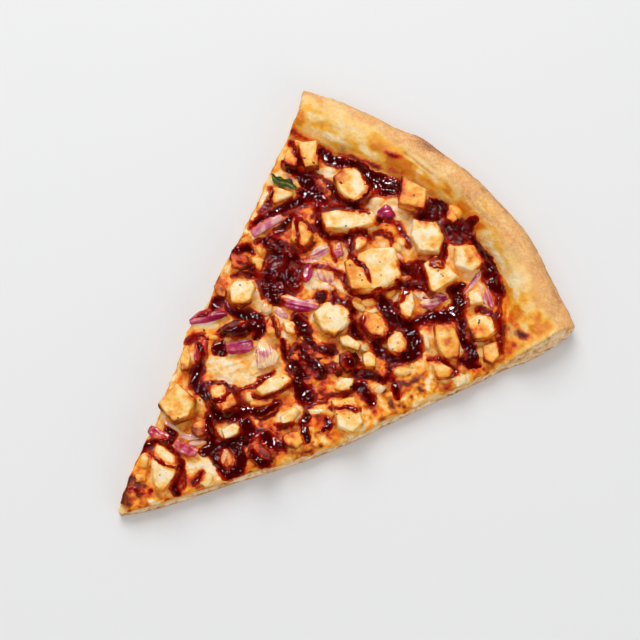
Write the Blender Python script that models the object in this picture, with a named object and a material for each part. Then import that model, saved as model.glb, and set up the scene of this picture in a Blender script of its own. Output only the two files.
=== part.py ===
"""A slice of barbecue chicken pizza: an eighth of an 18 inch pie, cut by hand.

Metres, +Z up. The point of the slice looks towards -Y and the crust towards +Y.
The origin is the centre of the underside's bounding box, so the slice lies on z = 0.

One solid for each piece: the dough with its rim, the cheese with the bits and the
thick drizzle that are baked onto it, the chunks of chicken, the onion and the leaf.
Plans are worked out in millimetres from the point of the slice: x to the right,
y towards the crust.
"""
import math
import random
from collections import namedtuple

import bpy
import bmesh
from mathutils import Vector, noise
from mathutils.geometry import convex_hull_2d, delaunay_2d_cdt

MM = 0.001
HALF_ANGLE = 22.5             # an eighth of the pie
NOSE = 1.0                    # the point of the slice is blunt
FIT = 0.3                     # clear space between pieces that touch

# Dough
BASE = 5.5                    # thickness under the cheese
CUT_LEAN = 0.22               # how far a cut side leans in, for each mm of height
BOW = 9.0                     # the right-hand cut bows outwards
WAVER = 0.9                   # the cuts aren't quite straight
# (radius, how far the cut runs outside its line there)
LEFT_CUT = ((0.0, 0.0), (14.0, 1.8), (74.0, 1.6), (91.0, 4.8), (107.0, 1.6), (126.0, 0.0), (165.0, -0.6),
            (190.0, -2.6), (206.0, -1.2), (221.0, 0.8))
RIGHT_CUT = ((0.0, 0.0), (60.0, 0.5), (113.0, 1.8), (165.0, -0.2), (188.0, 0.3), (206.0, 3.0), (228.7, 3.2))
RIM_TALL = 16.0
LUMPS = 1.1                   # unevenness of the rim
FLAT_ROWS = 20                # rows of the dough up to the rim
# (degrees from the middle of the slice, radius) of the rim's outer and inner edge
RIM_OUTER = ((-22.5, 221.7), (-17.0, 224.4), (-11.5, 225.8), (-5.5, 229.6), (4.0, 231.2), (10.0, 232.2),
             (17.0, 229.0), (22.5, 228.7))
RIM_INNER = ((-22.5, 198.0), (-12.0, 199.0), (-5.0, 207.5), (4.0, 213.5), (12.0, 210.5), (22.5, 192.0))
# share of the rim's width, share of its height over the base
RIM_SECTION = ((0.16, 0.42), (0.30, 0.74), (0.45, 0.94), (0.60, 1.0),
               (0.74, 0.93), (0.86, 0.72), (0.95, 0.42), (1.0, 0.10))
RIM_UNDER = ((0.60, 0.0), (0.74, 0.4), (0.86, 1.2), (0.95, 2.6), (1.0, 4.2))

# Cheese
CHEESE = 3.3                  # mean thickness
CHEESE_WAVE = 0.9
CHEESE_START = 5.0            # bare dough at the point
SEAT = 1.5                    # how deep a topping sits in the cheese
POCKET_GAP = 0.35             # space round a topping where it sits in the cheese
POCKET_TOP = 30.0
FAINT = 0.01                  # how faint a turn a pocket's outline leaves out
LATTICE = 5.0                 # spacing of the points that carry the cheese's surface
DRIZZLE_TALL = 1.2            # how thick the sauce stands on the cheese

# A chunk: where it lies, its size, its turn, and the form of its outline.
# square: 2 is an oval, more is boxy. taper: one end wider. skew: leans like a rhombus.
Chunk = namedtuple("Chunk", "x y long wide turn tall corners square taper skew")
CHICKEN = (
    Chunk(-57.0, 181.5, 13.5, 8.5, 145, 7.5, 4, 4.0, 0.15, 0.0),
    Chunk(-63.0, 175.0, 10.5, 7.0, 135, 5.5, 6, 3.5, -0.4, 0.0),
    Chunk(-53.0, 158.5, 12.0, 6.0, 50, 4.5, 5, 5.5, -0.7, 0.05),
    Chunk(-32.2, 185.4, 18.0, 15.5, 175, 7.5, 6, 3.0, 0.0, 0.0),
    Chunk(-7.6, 200.9, 14.0, 12.4, 20, 10.0, 4, 4.0, -0.14, -0.3),
    Chunk(11.0, 207.5, 9.5, 5.0, 150, 5.0, 5, 3.0, -0.2, 0.35),
    Chunk(-21.5, 172.0, 26.5, 11.0, 50, 6.5, 6, 3.5, -0.15, -0.2),
    Chunk(-33.5, 152.0, 17.0, 10.5, 145, 6.5, 5, 2.5, -0.3, 0.05),
    Chunk(10.5, 191.5, 16.5, 16.5, 140, 7.0, 6, 3.0, 0.05, 0.15),
    Chunk(-9.6, 168.3, 6.5, 7.0, 45, 5.5, 5, 3.5, -0.5, 0.2),
    Chunk(4.0, 162.0, 25.5, 21.5, 240, 8.5, 6, 4.0, -0.05, 0.1),
    Chunk(26.5, 182.0, 15.5, 12.0, 165, 8.5, 4, 2.5, -0.35, -0.05),
    Chunk(31.5, 197.5, 15.0, 13.5, 150, 6.5, 5, 2.5, 0.0, 0.15),
    Chunk(46.5, 186.5, 8.5, 7.0, 325, 5.5, 5, 3.0, 0.4, 0.1),
    Chunk(26.0, 161.5, 14.0, 8.0, 130, 7.0, 6, 3.0, 0.05, 0.15),
    Chunk(23.0, 144.0, 15.0, 11.0, 15, 7.0, 6, 2.5, -0.05, -0.2),
    Chunk(36.5, 145.0, 11.0, 10.0, 180, 7.0, 7, 2.5, 0.2, -0.15),
    Chunk(52.2, 161.8, 17.0, 11.8, 149, 7.5, 6, 3.5, 0.1, 0.1),
    Chunk(59.0, 178.0, 12.0, 13.0, 60, 7.5, 6, 3.0, -0.15, -0.05),
    Chunk(70.0, 172.5, 10.5, 8.5, 140, 4.5, 5, 3.5, 0.15, -0.2),
    Chunk(59.5, 150.5, 10.0, 7.0, 175, 5.5, 5, 4.5, -0.3, 0.25),
    Chunk(32.5, 130.5, 9.0, 7.0, 320, 5.5, 5, 2.5, 0.1, 0.15),
    Chunk(20.5, 130.0, 12.5, 5.5, 15, 4.5, 5, 2.5, -0.2, 0.0),
    Chunk(26.0, 122.5, 9.5, 8.0, 155, 6.5, 6, 2.5, 0.05, 0.15),
    Chunk(32.5, 114.0, 8.5, 7.0, 50, 5.5, 6, 2.5, 0.25, 0.3),
    Chunk(43.5, 105.0, 18.5, 13.0, 150, 7.5, 5, 4.0, 0.1, 0.1),
    Chunk(6.5, 132.5, 15.5, 15.5, 5, 7.5, 6, 3.5, 0.25, 0.1),
    Chunk(-4.0, 116.0, 7.0, 6.0, 160, 4.5, 5, 4.5, -0.1, 0.3),
    Chunk(-10.5, 110.5, 8.5, 6.5, 130, 5.5, 6, 3.5, -0.2, 0.05),
    Chunk(-31.5, 111.5, 13.0, 12.0, 130, 7.5, 7, 3.0, 0.2, -0.2),
    Chunk(-40.0, 105.5, 7.5, 6.0, 320, 4.5, 5, 2.5, 0.0, 0.4),
    Chunk(-43.5, 121.5, 8.5, 8.0, 220, 5.5, 6, 4.0, 0.1, -0.15),
    Chunk(-22.0, 97.5, 12.5, 8.0, 50, 6.5, 6, 2.0, 0.5, -0.05),
    Chunk(-28.5, 71.5, 12.0, 5.5, 135, 4.5, 6, 2.0, -0.3, -0.25),
    Chunk(-14.5, 53.9, 16.5, 16.0, 180, 9.0, 5, 4.0, 0.1, -0.05),
    Chunk(0.2, 53.6, 9.5, 8.0, 65, 5.5, 5, 4.0, 0.3, 0.0),
    Chunk(-3.0, 70.5, 14.5, 11.0, 170, 7.5, 6, 3.5, -0.15, 0.2),
    Chunk(9.5, 91.0, 16.5, 7.5, 255, 6.5, 6, 4.0, -0.25, -0.4),
    Chunk(11.0, 62.5, 9.5, 6.0, 250, 5.5, 5, 4.0, 0.15, 0.1),
    Chunk(25.0, 86.0, 11.5, 5.5, 90, 5.5, 5, 2.5, 0.05, -0.3),
    Chunk(33.5, 79.5, 9.0, 8.5, 235, 5.5, 6, 2.5, -0.05, -0.2),
    Chunk(28.0, 64.0, 10.5, 9.5, 170, 7.0, 6, 3.0, -0.1, 0.2),
    Chunk(2.0, 28.5, 19.0, 13.0, 305, 7.5, 6, 2.5, -0.4, 0.35),
)

# A piece of onion: a petal of the bulb, bent along its length.
# point: how late it narrows towards its ends. narrow: how much.
Petal = namedtuple("Petal", "x y long wide turn thick bend point narrow")
ONION = (
    Petal(-47.5, 143.5, 16.5, 4.8, 78, 3.4, 0.6, 6.0, 0.3),
    Petal(-12.1, 187.6, 10.2, 7.2, 55, 3.0, 0.3, 3.0, 0.35),
    Petal(-17.8, 140.5, 9.8, 4.6, 300, 2.8, 0.6, 2.5, 0.6),
    Petal(-21.0, 152.0, 9.5, 3.6, 70, 2.4, 0.5, 2.0, 0.7),
    Petal(-11.0, 128.0, 19.5, 6.4, 31, 3.8, -2.2, 2.5, 0.5),
    Petal(-11.5, 147.0, 11.5, 7.5, 160, 2.6, 0.8, 2.0, 0.6),
    Petal(-35.0, 92.6, 18.0, 6.2, 58, 3.0, 0.9, 2.2, 0.65),
    Petal(-15.0, 93.3, 12.6, 6.2, 56, 3.0, -0.4, 3.0, 0.4),
    Petal(-2.5, 99.2, 14.5, 12.0, 145, 4.6, 0.8, 3.5, 0.45),
    Petal(-26.0, 79.4, 11.0, 6.0, 123, 3.0, 0.3, 3.5, 0.3),
    Petal(-5.0, 41.0, 25.0, 5.4, 17, 3.6, -1.4, 6.0, 0.25),
    Petal(51.5, 191.5, 10.5, 3.2, 150, 2.6, 0.4, 2.5, 0.6),
    Petal(33.5, 170.5, 12.5, 5.8, 55, 2.8, -0.5, 3.0, 0.6),
)

# Bits too small to lift off: they are baked onto the cheese.
Bit = namedtuple("Bit", "x y long wide turn tall")
BITS = (
    Bit(46.0, 137.5, 9.0, 4.6, 45, 3.0),
    Bit(-4.0, 183.0, 6.0, 5.2, 170, 3.2),
    Bit(3.5, 179.0, 5.0, 4.6, 130, 3.0),
    Bit(-40.5, 133.0, 4.6, 4.2, 75, 3.2),
    Bit(-36.5, 127.0, 5.6, 3.6, 150, 3.2),
    Bit(-19.5, 115.5, 7.5, 5.0, 125, 3.0),
    Bit(9.5, 145.0, 9.5, 3.6, 15, 2.8),
    Bit(-7.5, 25.5, 5.6, 3.8, 130, 3.0),
    Bit(5.0, 79.5, 4.6, 3.6, 145, 2.6),
    Bit(15.5, 80.5, 9.0, 4.0, 70, 2.6),
    Bit(7.0, 107.5, 4.6, 3.6, 70, 2.8),
    Bit(66.0, 158.0, 5.0, 4.4, 45, 2.8),
    Bit(-29.0, 86.0, 4.0, 3.0, 65, 2.2),
    Bit(19.0, 103.0, 5.0, 3.0, 60, 2.4),
    Bit(14.0, 116.5, 5.0, 3.2, 50, 2.4),
    Bit(21.0, 112.0, 4.0, 3.4, 150, 2.4),
    Bit(40.5, 129.5, 4.6, 3.4, 140, 2.8),
    Bit(-42.0, 152.0, 5.6, 4.6, 120, 3.4),
    Bit(-14.5, 158.0, 5.0, 4.4, 340, 2.4),
    Bit(3.5, 48.0, 8.5, 2.6, 50, 2.2),
    Bit(56.5, 169.5, 4.6, 3.2, 165, 2.2),
    Bit(45.5, 178.0, 4.4, 3.4, 65, 2.0),
    Bit(32.0, 96.5, 10.0, 3.2, 45, 2.2),
    Bit(45.0, 124.5, 7.0, 4.0, 80, 2.4),
    Bit(16.0, 52.0, 8.0, 4.0, 110, 2.4),
)

# The thick drizzle: lines of (x, y, width) that the squeezed sauce follows.
DRIZZLE = (
    ((-50, 188, 6), (-43, 190, 6), (-35, 195, 5), (-28, 196, 5), (-22, 198, 7), (-16, 203, 8)),
    ((-61, 171, 6), (-53, 171, 11), (-47, 167, 6), (-41, 168, 4), (-37, 176, 4)),
    ((-58, 151, 4), (-50, 153, 5), (-43, 158, 6), (-37, 163, 5), (-30, 164, 5), (-25, 162, 5)),
    ((-24, 158, 5), (-18, 163, 4), (-14, 168, 4), (-8, 174, 3)),
    ((-2, 209, 7), (4, 205, 9), (10, 200, 8), (17, 203, 9), (24, 209, 8), (31, 208, 8)),
    ((37, 208, 7), (43, 206, 9), (47, 201, 11), (53, 197, 9), (57, 190, 6), (60, 183, 4), (66, 184, 4)),
    ((67, 182, 4), (74, 181, 4), (78, 178, 4)),
    ((-42, 143, 7), (-36, 141, 8), (-30, 140, 9), (-26, 134, 9), (-24, 127, 8), (-27, 121, 6)),
    ((13, 180, 4), (15, 173, 5), (20, 177, 5), (19, 170, 5), (12, 172, 3)),
    ((40, 184, 7), (42, 176, 8), (44, 169, 7), (37, 162, 6), (31, 155, 6), (25, 153, 5), (18, 154, 4)),
    ((50, 170, 4), (56, 165, 4), (65, 166, 6), (64, 158, 4)),
    ((33, 153, 6), (42, 153, 7), (47, 150, 8), (46, 143, 7), (41, 138, 4), (33, 138, 5), (29, 137, 5)),
    ((13, 140, 6), (14, 132, 5), (9, 121, 6), (16, 120, 6)),
    ((-8, 121, 6), (-3, 122, 4), (-1, 127, 4)),
    ((37, 124, 5), (41, 118, 5), (38, 112, 4), (46, 116, 5), (50, 119, 4)),
    ((-31, 100, 5), (-25, 105, 6), (-18, 106, 7), (-15, 101, 4)),
    ((-22, 81, 4), (-21, 74, 6), (-17, 68, 7), (-13, 65, 4)),
    ((14, 97, 6), (20, 95, 8), (23, 91, 5)),
    ((8, 107, 4), (12, 103, 6), (19, 108, 5), (24, 107, 4)),
    ((-2, 63, 5), (4, 63, 6), (11, 71, 6), (18, 73, 5), (21, 79, 4)),
    ((20, 70, 6), (20, 63, 6), (15, 56, 4), (8, 54, 5), (11, 46, 5), (19, 44, 6), (22, 52, 5)),
    ((-10, 33, 4), (-3, 36, 4), (6, 35, 4), (11, 30, 4), (14, 24, 4)),
    ((32, 72, 5), (37, 73, 4), (28, 73, 5)),
    ((34, 84, 4), (38, 85, 4), (41, 90, 4)),
)
LEAF = {"x": -57.0, "y": 163.8, "long": 14.5, "wide": 4.8, "turn": 15, "thick": 0.7}


def smooth(t):
    """Ease from 0 to 1."""
    t = min(max(t, 0.0), 1.0)
    return t * t * (3.0 - 2.0 * t)


def through(points, at):
    """A smooth line through a few (place, value) points."""
    for (a, low), (b, high) in zip(points, points[1:]):
        if at <= b:
            return low + (high - low) * smooth((at - a) / (b - a))
    return points[-1][1]


# The plan of the slice

def cut_angles(radius, height):
    """Degrees from the middle to the left and to the right cut, at a radius and a height."""
    share = min(max(radius / RIM_OUTER[-1][1], 0.0), 1.0)
    bow = BOW * (4.0 * share * (1.0 - share)) ** 0.6
    left_waver = WAVER * math.sin(radius / 9.0) * smooth(radius / 40.0)
    right_waver = 0.6 * WAVER * math.sin(radius / 13.0 + 1.0) * smooth(radius / 40.0)
    lean = CUT_LEAN * height * smooth(radius / 12.0)
    left_more, right_more = through(LEFT_CUT, radius), through(RIGHT_CUT, radius)
    left = HALF_ANGLE + math.degrees((left_more + left_waver - 0.4 * lean) / radius)
    right = HALF_ANGLE + math.degrees((bow + right_more + right_waver - lean) / radius)
    return -left, right


def on_plan(across, radius, height):
    """The point at a share across the slice (-1 left cut, 1 right cut) and a radius."""
    left, right = cut_angles(radius, height)
    angle = math.radians(left + (right - left) * (across + 1.0) / 2.0)
    return Vector((radius * math.sin(angle), radius * math.cos(angle), height))


def rim_at(degrees):
    """Inner and outer radius of the rim."""
    return through(RIM_INNER, degrees), through(RIM_OUTER, degrees)


def toe_at(degrees):
    """Where the dough starts to rise to the rim, under the cheese's edge."""
    return rim_at(degrees)[0] - 2.5


# Building closed solids

def finish(name, bm, colour, roughness):
    """Turn a bmesh in millimetres into an object in metres with its own material."""
    bmesh.ops.recalc_face_normals(bm, faces=bm.faces[:])
    for vert in bm.verts:
        vert.co *= MM
    mesh = bpy.data.meshes.new(name)
    bm.to_mesh(mesh)
    bm.free()
    material = bpy.data.materials.new(name)
    material.use_nodes = True
    shader = material.node_tree.nodes["Principled BSDF"]
    shader.inputs["Base Color"].default_value = (*colour, 1.0)
    shader.inputs["Roughness"].default_value = roughness
    shader.inputs["Metallic"].default_value = 0.0
    mesh.materials.append(material)
    item = bpy.data.objects.new(name, mesh)
    bpy.context.scene.collection.objects.link(item)
    return item


def slab(bm, lower):
    """Close an open sheet downwards: lower gives each top point its place underneath."""
    made = bmesh.ops.extrude_face_region(bm, geom=bm.faces[:], use_keep_orig=True)
    below = [item for item in made["geom"] if isinstance(item, bmesh.types.BMVert)]
    for vert in below:
        vert.co = lower(vert)


def thin_out(bm):
    """Join the flat faces, so that flat areas cost few triangles."""
    bmesh.ops.dissolve_limit(bm, angle_limit=math.radians(0.5), verts=bm.verts[:], edges=bm.edges[:])
    bmesh.ops.triangulate(bm, faces=[face for face in bm.faces if len(face.verts) > 4])


def combine(target, others, operation):
    """Boolean the target with a collection of solids, then remove them."""
    group = bpy.data.collections.new("others")
    for item in others:
        group.objects.link(item)
    step = target.modifiers.new("combine", "BOOLEAN")
    step.operand_type = "COLLECTION"
    step.collection = group
    step.operation = operation
    step.solver = "EXACT"
    graph = bpy.context.evaluated_depsgraph_get()
    mesh = bpy.data.meshes.new_from_object(target.evaluated_get(graph))
    target.modifiers.clear()
    target.data = mesh
    for item in others:
        bpy.data.objects.remove(item)
    bpy.data.collections.remove(group)


def drop_scraps(item):
    """Keep the largest connected body of a mesh."""
    bm = bmesh.new()
    bm.from_mesh(item.data)
    bmesh.ops.remove_doubles(bm, verts=bm.verts[:], dist=1e-6)
    bmesh.ops.dissolve_degenerate(bm, edges=bm.edges[:], dist=2e-6)
    left = set(bm.verts)
    bodies = []
    while left:
        body, edge = set(), [left.pop()]
        while edge:
            vert = edge.pop()
            body.add(vert)
            near = {link.other_vert(vert) for link in vert.link_edges} & left
            left -= near
            edge.extend(near)
        bodies.append(body)
    bodies.sort(key=len)
    bmesh.ops.delete(bm, geom=[vert for body in bodies[:-1] for vert in body], context="VERTS")
    bm.to_mesh(item.data)
    bm.free()


# Dough

def rim_lump(point):
    return LUMPS * noise.noise(Vector((point.x / 21.0, point.y / 21.0, 3.0)))


def dough_radii():
    """Rows of the dough: even steps up to the rim, then the rim's own section."""
    rows = [("flat", step / FLAT_ROWS) for step in range(FLAT_ROWS + 1)]
    rows += [("rim", share) for share, tall in RIM_SECTION]
    return rows


def dough():
    columns = 26
    rows = dough_radii()
    under = {share: tall for share, tall in RIM_UNDER}
    bm = bmesh.new()
    bmesh.ops.create_grid(bm, x_segments=columns, y_segments=len(rows) - 1, size=1.0)
    below = {}
    for vert in bm.verts:
        across = vert.co.x
        kind, share = rows[round((vert.co.y + 1.0) / 2.0 * (len(rows) - 1))]
        degrees = across * HALF_ANGLE
        toe, (inner, outer) = toe_at(degrees), rim_at(degrees)
        if kind == "flat":
            radius, top, low = NOSE + (toe - NOSE) * share, BASE, 0.0
        else:
            radius = toe + (outer - toe) * share
            top = BASE + (RIM_TALL - BASE) * through(RIM_SECTION, share)
            low = under.get(share, 0.0)
        place = on_plan(across, radius, top)
        if kind == "rim" and share < 1.0:
            place.z += rim_lump(place) * through(RIM_SECTION, share)
        vert.co = place
        below[vert.co.to_tuple(4)] = on_plan(across, radius, low)
    slab(bm, lambda vert: below[vert.co.to_tuple(4)])
    thin_out(bm)
    return finish("dough", bm, (0.80, 0.58, 0.34), 0.75)


# Cheese

def cheese_outline():
    """The cheese's edge, anticlockwise: up the right cut, along the rim, down the left cut."""
    steps = 44
    height = BASE
    right, left, back = [], [], []
    for step in range(steps + 1):
        share = step / steps
        for side, line in ((1.0, right), (-1.0, left)):
            toe = toe_at(side * HALF_ANGLE) - 0.6
            radius = CHEESE_START + (toe - CHEESE_START) * share
            point = on_plan(side, radius, height)
            inset = 0.5 + 0.5 * math.sin(radius / 5.0 + side)
            line.append(Vector((point.x - side * inset, point.y)))
    for step in range(1, 40):
        across = 1.0 - 2.0 * step / 40
        radius = toe_at(across * HALF_ANGLE) - 0.6
        point = on_plan(across, radius, height)
        back.append(Vector((point.x, point.y)))
    return right + back + left[::-1]


def drizzle_points():
    """Points along the drizzle's middle and edges, with the width there."""
    found = []
    for line in DRIZZLE:
        for (ax, ay, aw), (bx, by, bw) in zip(line, line[1:]):
            a, b = Vector((ax, ay)), Vector((bx, by))
            count = max(1, round((b - a).length / 5.0))
            side = (b - a).normalized().orthogonal()
            for step in range(count):
                share = step / count
                middle, width = a.lerp(b, share), aw + (bw - aw) * share
                found.extend((middle, middle + side * width / 2, middle - side * width / 2))
    return found


def drizzle_height(point):
    """How far the sauce stands up at a point of the plan."""
    best = 0.0
    for line in DRIZZLE:
        for (ax, ay, aw), (bx, by, bw) in zip(line, line[1:]):
            a, b = Vector((ax, ay)), Vector((bx, by))
            along = (point - a).dot(b - a) / (b - a).length_squared
            along = min(max(along, 0.0), 1.0)
            half = (aw + (bw - aw) * along) / 2.0
            off = (point - a.lerp(b, along)).length / half
            if off < 1.0:
                best = max(best, math.sqrt(1.0 - off * off))
    return DRIZZLE_TALL * best


def cheese_height(point):
    """Height of the melted cheese, without the sauce on it."""
    broad = noise.noise(Vector((point.x / 26.0, point.y / 26.0, 0.0)))
    fine = noise.noise(Vector((point.x / 9.0, point.y / 9.0, 5.0)))
    return BASE + FIT + CHEESE + CHEESE_WAVE * (broad + 0.6 * fine)


def inside(point, outline, margin):
    """Is the point inside the outline, and clear of it?"""
    odd = False
    for a, b in zip(outline, outline[1:] + outline[:1]):
        along = min(max((point - a).dot(b - a) / (b - a).length_squared, 0.0), 1.0)
        if (point - a.lerp(b, along)).length < margin:
            return False
        if (a.y > point.y) != (b.y > point.y):
            if point.x < a.x + (b.x - a.x) * (point.y - a.y) / (b.y - a.y):
                odd = not odd
    return odd


def cheese_plan():
    """Triangles over the plan: the outline, the drizzle and an even lattice between."""
    outline = cheese_outline()
    inner = []
    for point in drizzle_points():
        if inside(point, outline, 1.2) and all((point - other).length > 1.9 for other in inner):
            inner.append(point)
    row_gap = LATTICE * math.sqrt(3.0) / 2.0
    for row in range(60):
        for column in range(-24, 25):
            point = Vector(((column + 0.5 * (row % 2)) * LATTICE, row * row_gap))
            if inside(point, outline, 1.6) and all((point - other).length > 3.0 for other in inner):
                inner.append(point)
    ring = [(index, (index + 1) % len(outline)) for index in range(len(outline))]
    result = delaunay_2d_cdt(outline + inner, ring, [], 1, 1e-4)
    return result[0], result[2], len(outline)


def cheese():
    points, triangles, rim_count = cheese_plan()
    bm = bmesh.new()
    verts = []
    for index, point in enumerate(points):
        height = cheese_height(point) + drizzle_height(point)
        if index < rim_count:
            height = min(height, BASE + FIT + CHEESE)
        verts.append(bm.verts.new((point.x, point.y, height)))
    for triangle in triangles:
        bm.faces.new([verts[index] for index in triangle])
    slab(bm, lambda vert: Vector((vert.co.x, vert.co.y, BASE + FIT)))
    thin_out(bm)
    bmesh.ops.triangulate(bm, faces=bm.faces[:])
    return finish("cheese", bm, (0.86, 0.62, 0.32), 0.4)


# Toppings

def block_outline(piece, corners):
    """Corners of a chunk's outline: a rounded block, tapered and skewed."""
    power = 2.0 / getattr(piece, "square", 2.6)
    raw = []
    for corner in range(corners):
        angle = 2.0 * math.pi * (corner + 0.5) / corners
        cos, sin = math.cos(angle), math.sin(angle)
        raw.append((math.copysign(abs(cos) ** power, cos), math.copysign(abs(sin) ** power, sin)))
    reach_x = max(abs(x) for x, y in raw)
    reach_y = max(abs(y) for x, y in raw)
    turn = math.radians(piece.turn)
    outline = []
    for x, y in raw:
        x, y = x / reach_x, y / reach_y * (1.0 + getattr(piece, "taper", 0.0) * x / reach_x)
        x = piece.long / 2.0 * x + getattr(piece, "skew", 0.0) * piece.wide / 2.0 * y
        y = piece.wide / 2.0 * y
        outline.append(Vector((x * math.cos(turn) - y * math.sin(turn), x * math.sin(turn) + y * math.cos(turn))))
    return outline


def stack_rings(bm, rings, top, bottom):
    """Skin rings of points, from the lowest to the highest, and close both ends."""
    rows = [[bm.verts.new(point) for point in ring] for ring in rings]
    count = len(rings[0])
    for low, high in zip(rows, rows[1:]):
        for index in range(count):
            after = (index + 1) % count
            bm.faces.new((low[index], low[after], high[after], high[index]))
    for row, middle, flip in ((rows[-1], top, False), (rows[0], bottom, True)):
        centre = bm.verts.new(middle)
        for index in range(count):
            pair = (row[index], row[(index + 1) % count])
            bm.faces.new((*(pair[::-1] if flip else pair), centre))


def chunk_solid(piece, seed):
    """A lump of meat: upright sides, a rounded shoulder and an uneven top."""
    draw = random.Random(seed)
    outline = block_outline(piece, getattr(piece, "corners", 5))
    seat = cheese_height(Vector((piece.x, piece.y))) - SEAT
    tilt = Vector((draw.uniform(-0.07, 0.07), draw.uniform(-0.07, 0.07)))
    bm = bmesh.new()
    rings = []
    for spread, level in ((0.94, 0.0), (1.0, 0.35), (0.985, 0.78), (0.88, 0.985)):
        ring = []
        for corner in outline:
            jitter = 1.0 + draw.uniform(-0.035, 0.035)
            flat = corner * spread * jitter
            lift = (flat.dot(tilt) + draw.uniform(-0.05, 0.05) * piece.tall) * level
            ring.append(Vector((piece.x + flat.x, piece.y + flat.y, seat + (piece.tall + SEAT) * level + lift)))
        rings.append(ring)
    middle = Vector((piece.x, piece.y, 0.0))
    stack_rings(bm, rings, middle + Vector((0, 0, seat + piece.tall + SEAT)), middle + Vector((0, 0, seat)))
    bmesh.ops.recalc_face_normals(bm, faces=bm.faces[:])
    return bm


def petal_solid(piece):
    """A petal of onion: cupped across, bent along, blunt or pointed at the ends."""
    along_steps, across_steps = 6, 2
    turn = math.radians(piece.turn)
    seat = cheese_height(Vector((piece.x, piece.y))) - SEAT * 0.6
    bm = bmesh.new()
    bmesh.ops.create_grid(bm, x_segments=along_steps, y_segments=across_steps, size=1.0)

    def place(x, y, z):
        return Vector((piece.x + x * math.cos(turn) - y * math.sin(turn),
                       piece.y + x * math.sin(turn) + y * math.cos(turn), z))

    for vert in bm.verts:
        u, v = vert.co.x, vert.co.y
        half = piece.wide / 2.0 * (1.0 - piece.narrow * abs(u) ** piece.point)
        x = piece.long / 2.0 * u
        y = half * v + piece.bend * (1.0 - u * u)
        crown = piece.thick * (0.72 + 0.28 * (1.0 - v * v)) * (1.0 - 0.25 * u * u)
        vert.co = place(x, y, seat + SEAT * 0.6 + crown)
    slab(bm, lambda vert: Vector((vert.co.x, vert.co.y, seat)))
    thin_out(bm)
    bmesh.ops.recalc_face_normals(bm, faces=bm.faces[:])
    return bm


def leaf_solid():
    """A thin wavy leaf, pointed at both ends."""
    piece = LEAF
    turn = math.radians(piece["turn"])
    level = cheese_height(Vector((piece["x"], piece["y"]))) + 1.1
    bm = bmesh.new()
    bmesh.ops.create_grid(bm, x_segments=8, y_segments=2, size=1.0)
    for vert in bm.verts:
        u, v = vert.co.x, vert.co.y
        half = piece["wide"] / 2.0 * (1.0 - 0.9 * abs(u) ** 2.2)
        x, y = piece["long"] / 2.0 * u, half * v + 0.8 * u * u
        z = level + 0.45 * math.sin(2.6 * u) - 0.5 * (1.0 - v * v) + 0.3 * u
        vert.co = Vector((piece["x"] + x * math.cos(turn) - y * math.sin(turn),
                          piece["y"] + x * math.sin(turn) + y * math.cos(turn), z + piece["thick"]))
    bmesh.ops.triangulate(bm, faces=bm.faces[:])
    slab(bm, lambda vert: vert.co - Vector((0, 0, piece["thick"])))
    bmesh.ops.recalc_face_normals(bm, faces=bm.faces[:])
    return bm


def bit_solid(piece, seed):
    draw = random.Random(seed)
    bm = bmesh.new()
    outline = block_outline(piece, 5)
    level = cheese_height(Vector((piece.x, piece.y)))
    rings = []
    for spread, height in ((1.0, -1.6), (0.95, piece.tall * 0.6), (0.6, piece.tall)):
        rings.append([Vector((piece.x + c.x * spread, piece.y + c.y * spread,
                              level + height + draw.uniform(-0.15, 0.15))) for c in outline])
    middle = Vector((piece.x, piece.y, level))
    stack_rings(bm, rings, middle + Vector((0, 0, piece.tall + 0.2)), middle - Vector((0, 0, 1.6)))
    return bm


def toppings():
    """Every topping's name, solid and colour."""
    made = []
    for number, piece in enumerate(CHICKEN, 1):
        made.append((f"chicken_{number:02d}", chunk_solid(piece, number), (0.84, 0.60, 0.34)))
    for number, piece in enumerate(ONION, 1):
        made.append((f"onion_{number:02d}", petal_solid(piece), (0.62, 0.24, 0.38)))
    made.append(("herb_leaf", leaf_solid(), (0.16, 0.24, 0.06)))
    return made


def plain_hull(spots):
    """The outline round some points, anticlockwise, without its faintest corners."""
    spots = [Vector(spot) for spot in sorted({spot.to_tuple(3) for spot in spots})]
    hull = [spots[index] for index in convex_hull_2d(spots)]
    outline = []
    for before, point, after in zip(hull[-1:] + hull[:-1], hull, hull[1:] + hull[:1]):
        if (point - before).normalized().cross((after - point).normalized()) > FAINT:
            outline.append(point)
    return outline


def grow(outline, gap):
    """Move every side of an anticlockwise outline outwards by the gap."""
    grown = []
    for before, point, after in zip(outline[-1:] + outline[:-1], outline, outline[1:] + outline[:1]):
        along = (point - before).normalized() + (after - point).normalized()
        outwards = Vector((along.y, -along.x)).normalized()
        side = (after - point).normalized()
        grown.append(point + outwards * gap / max(outwards.dot(Vector((side.y, -side.x))), 0.5))
    return grown


def pocket(bm):
    """The well a topping sits in: its outline seen from above, grown, open upwards."""
    floor = min(vert.co.z for vert in bm.verts) - FIT
    spots = [vert.co.xy for vert in bm.verts]
    bm.free()
    outline = plain_hull(spots)
    middle = sum(outline, Vector((0.0, 0.0))) / len(outline)
    grown = grow(outline, POCKET_GAP)
    well = bmesh.new()
    rings = [[Vector((point.x, point.y, height)) for point in grown] for height in (floor, POCKET_TOP)]
    stack_rings(well, rings, Vector((*middle, POCKET_TOP)), Vector((*middle, floor)))
    bmesh.ops.dissolve_limit(well, angle_limit=math.radians(0.5), verts=well.verts[:], edges=well.edges[:])
    return well


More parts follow.
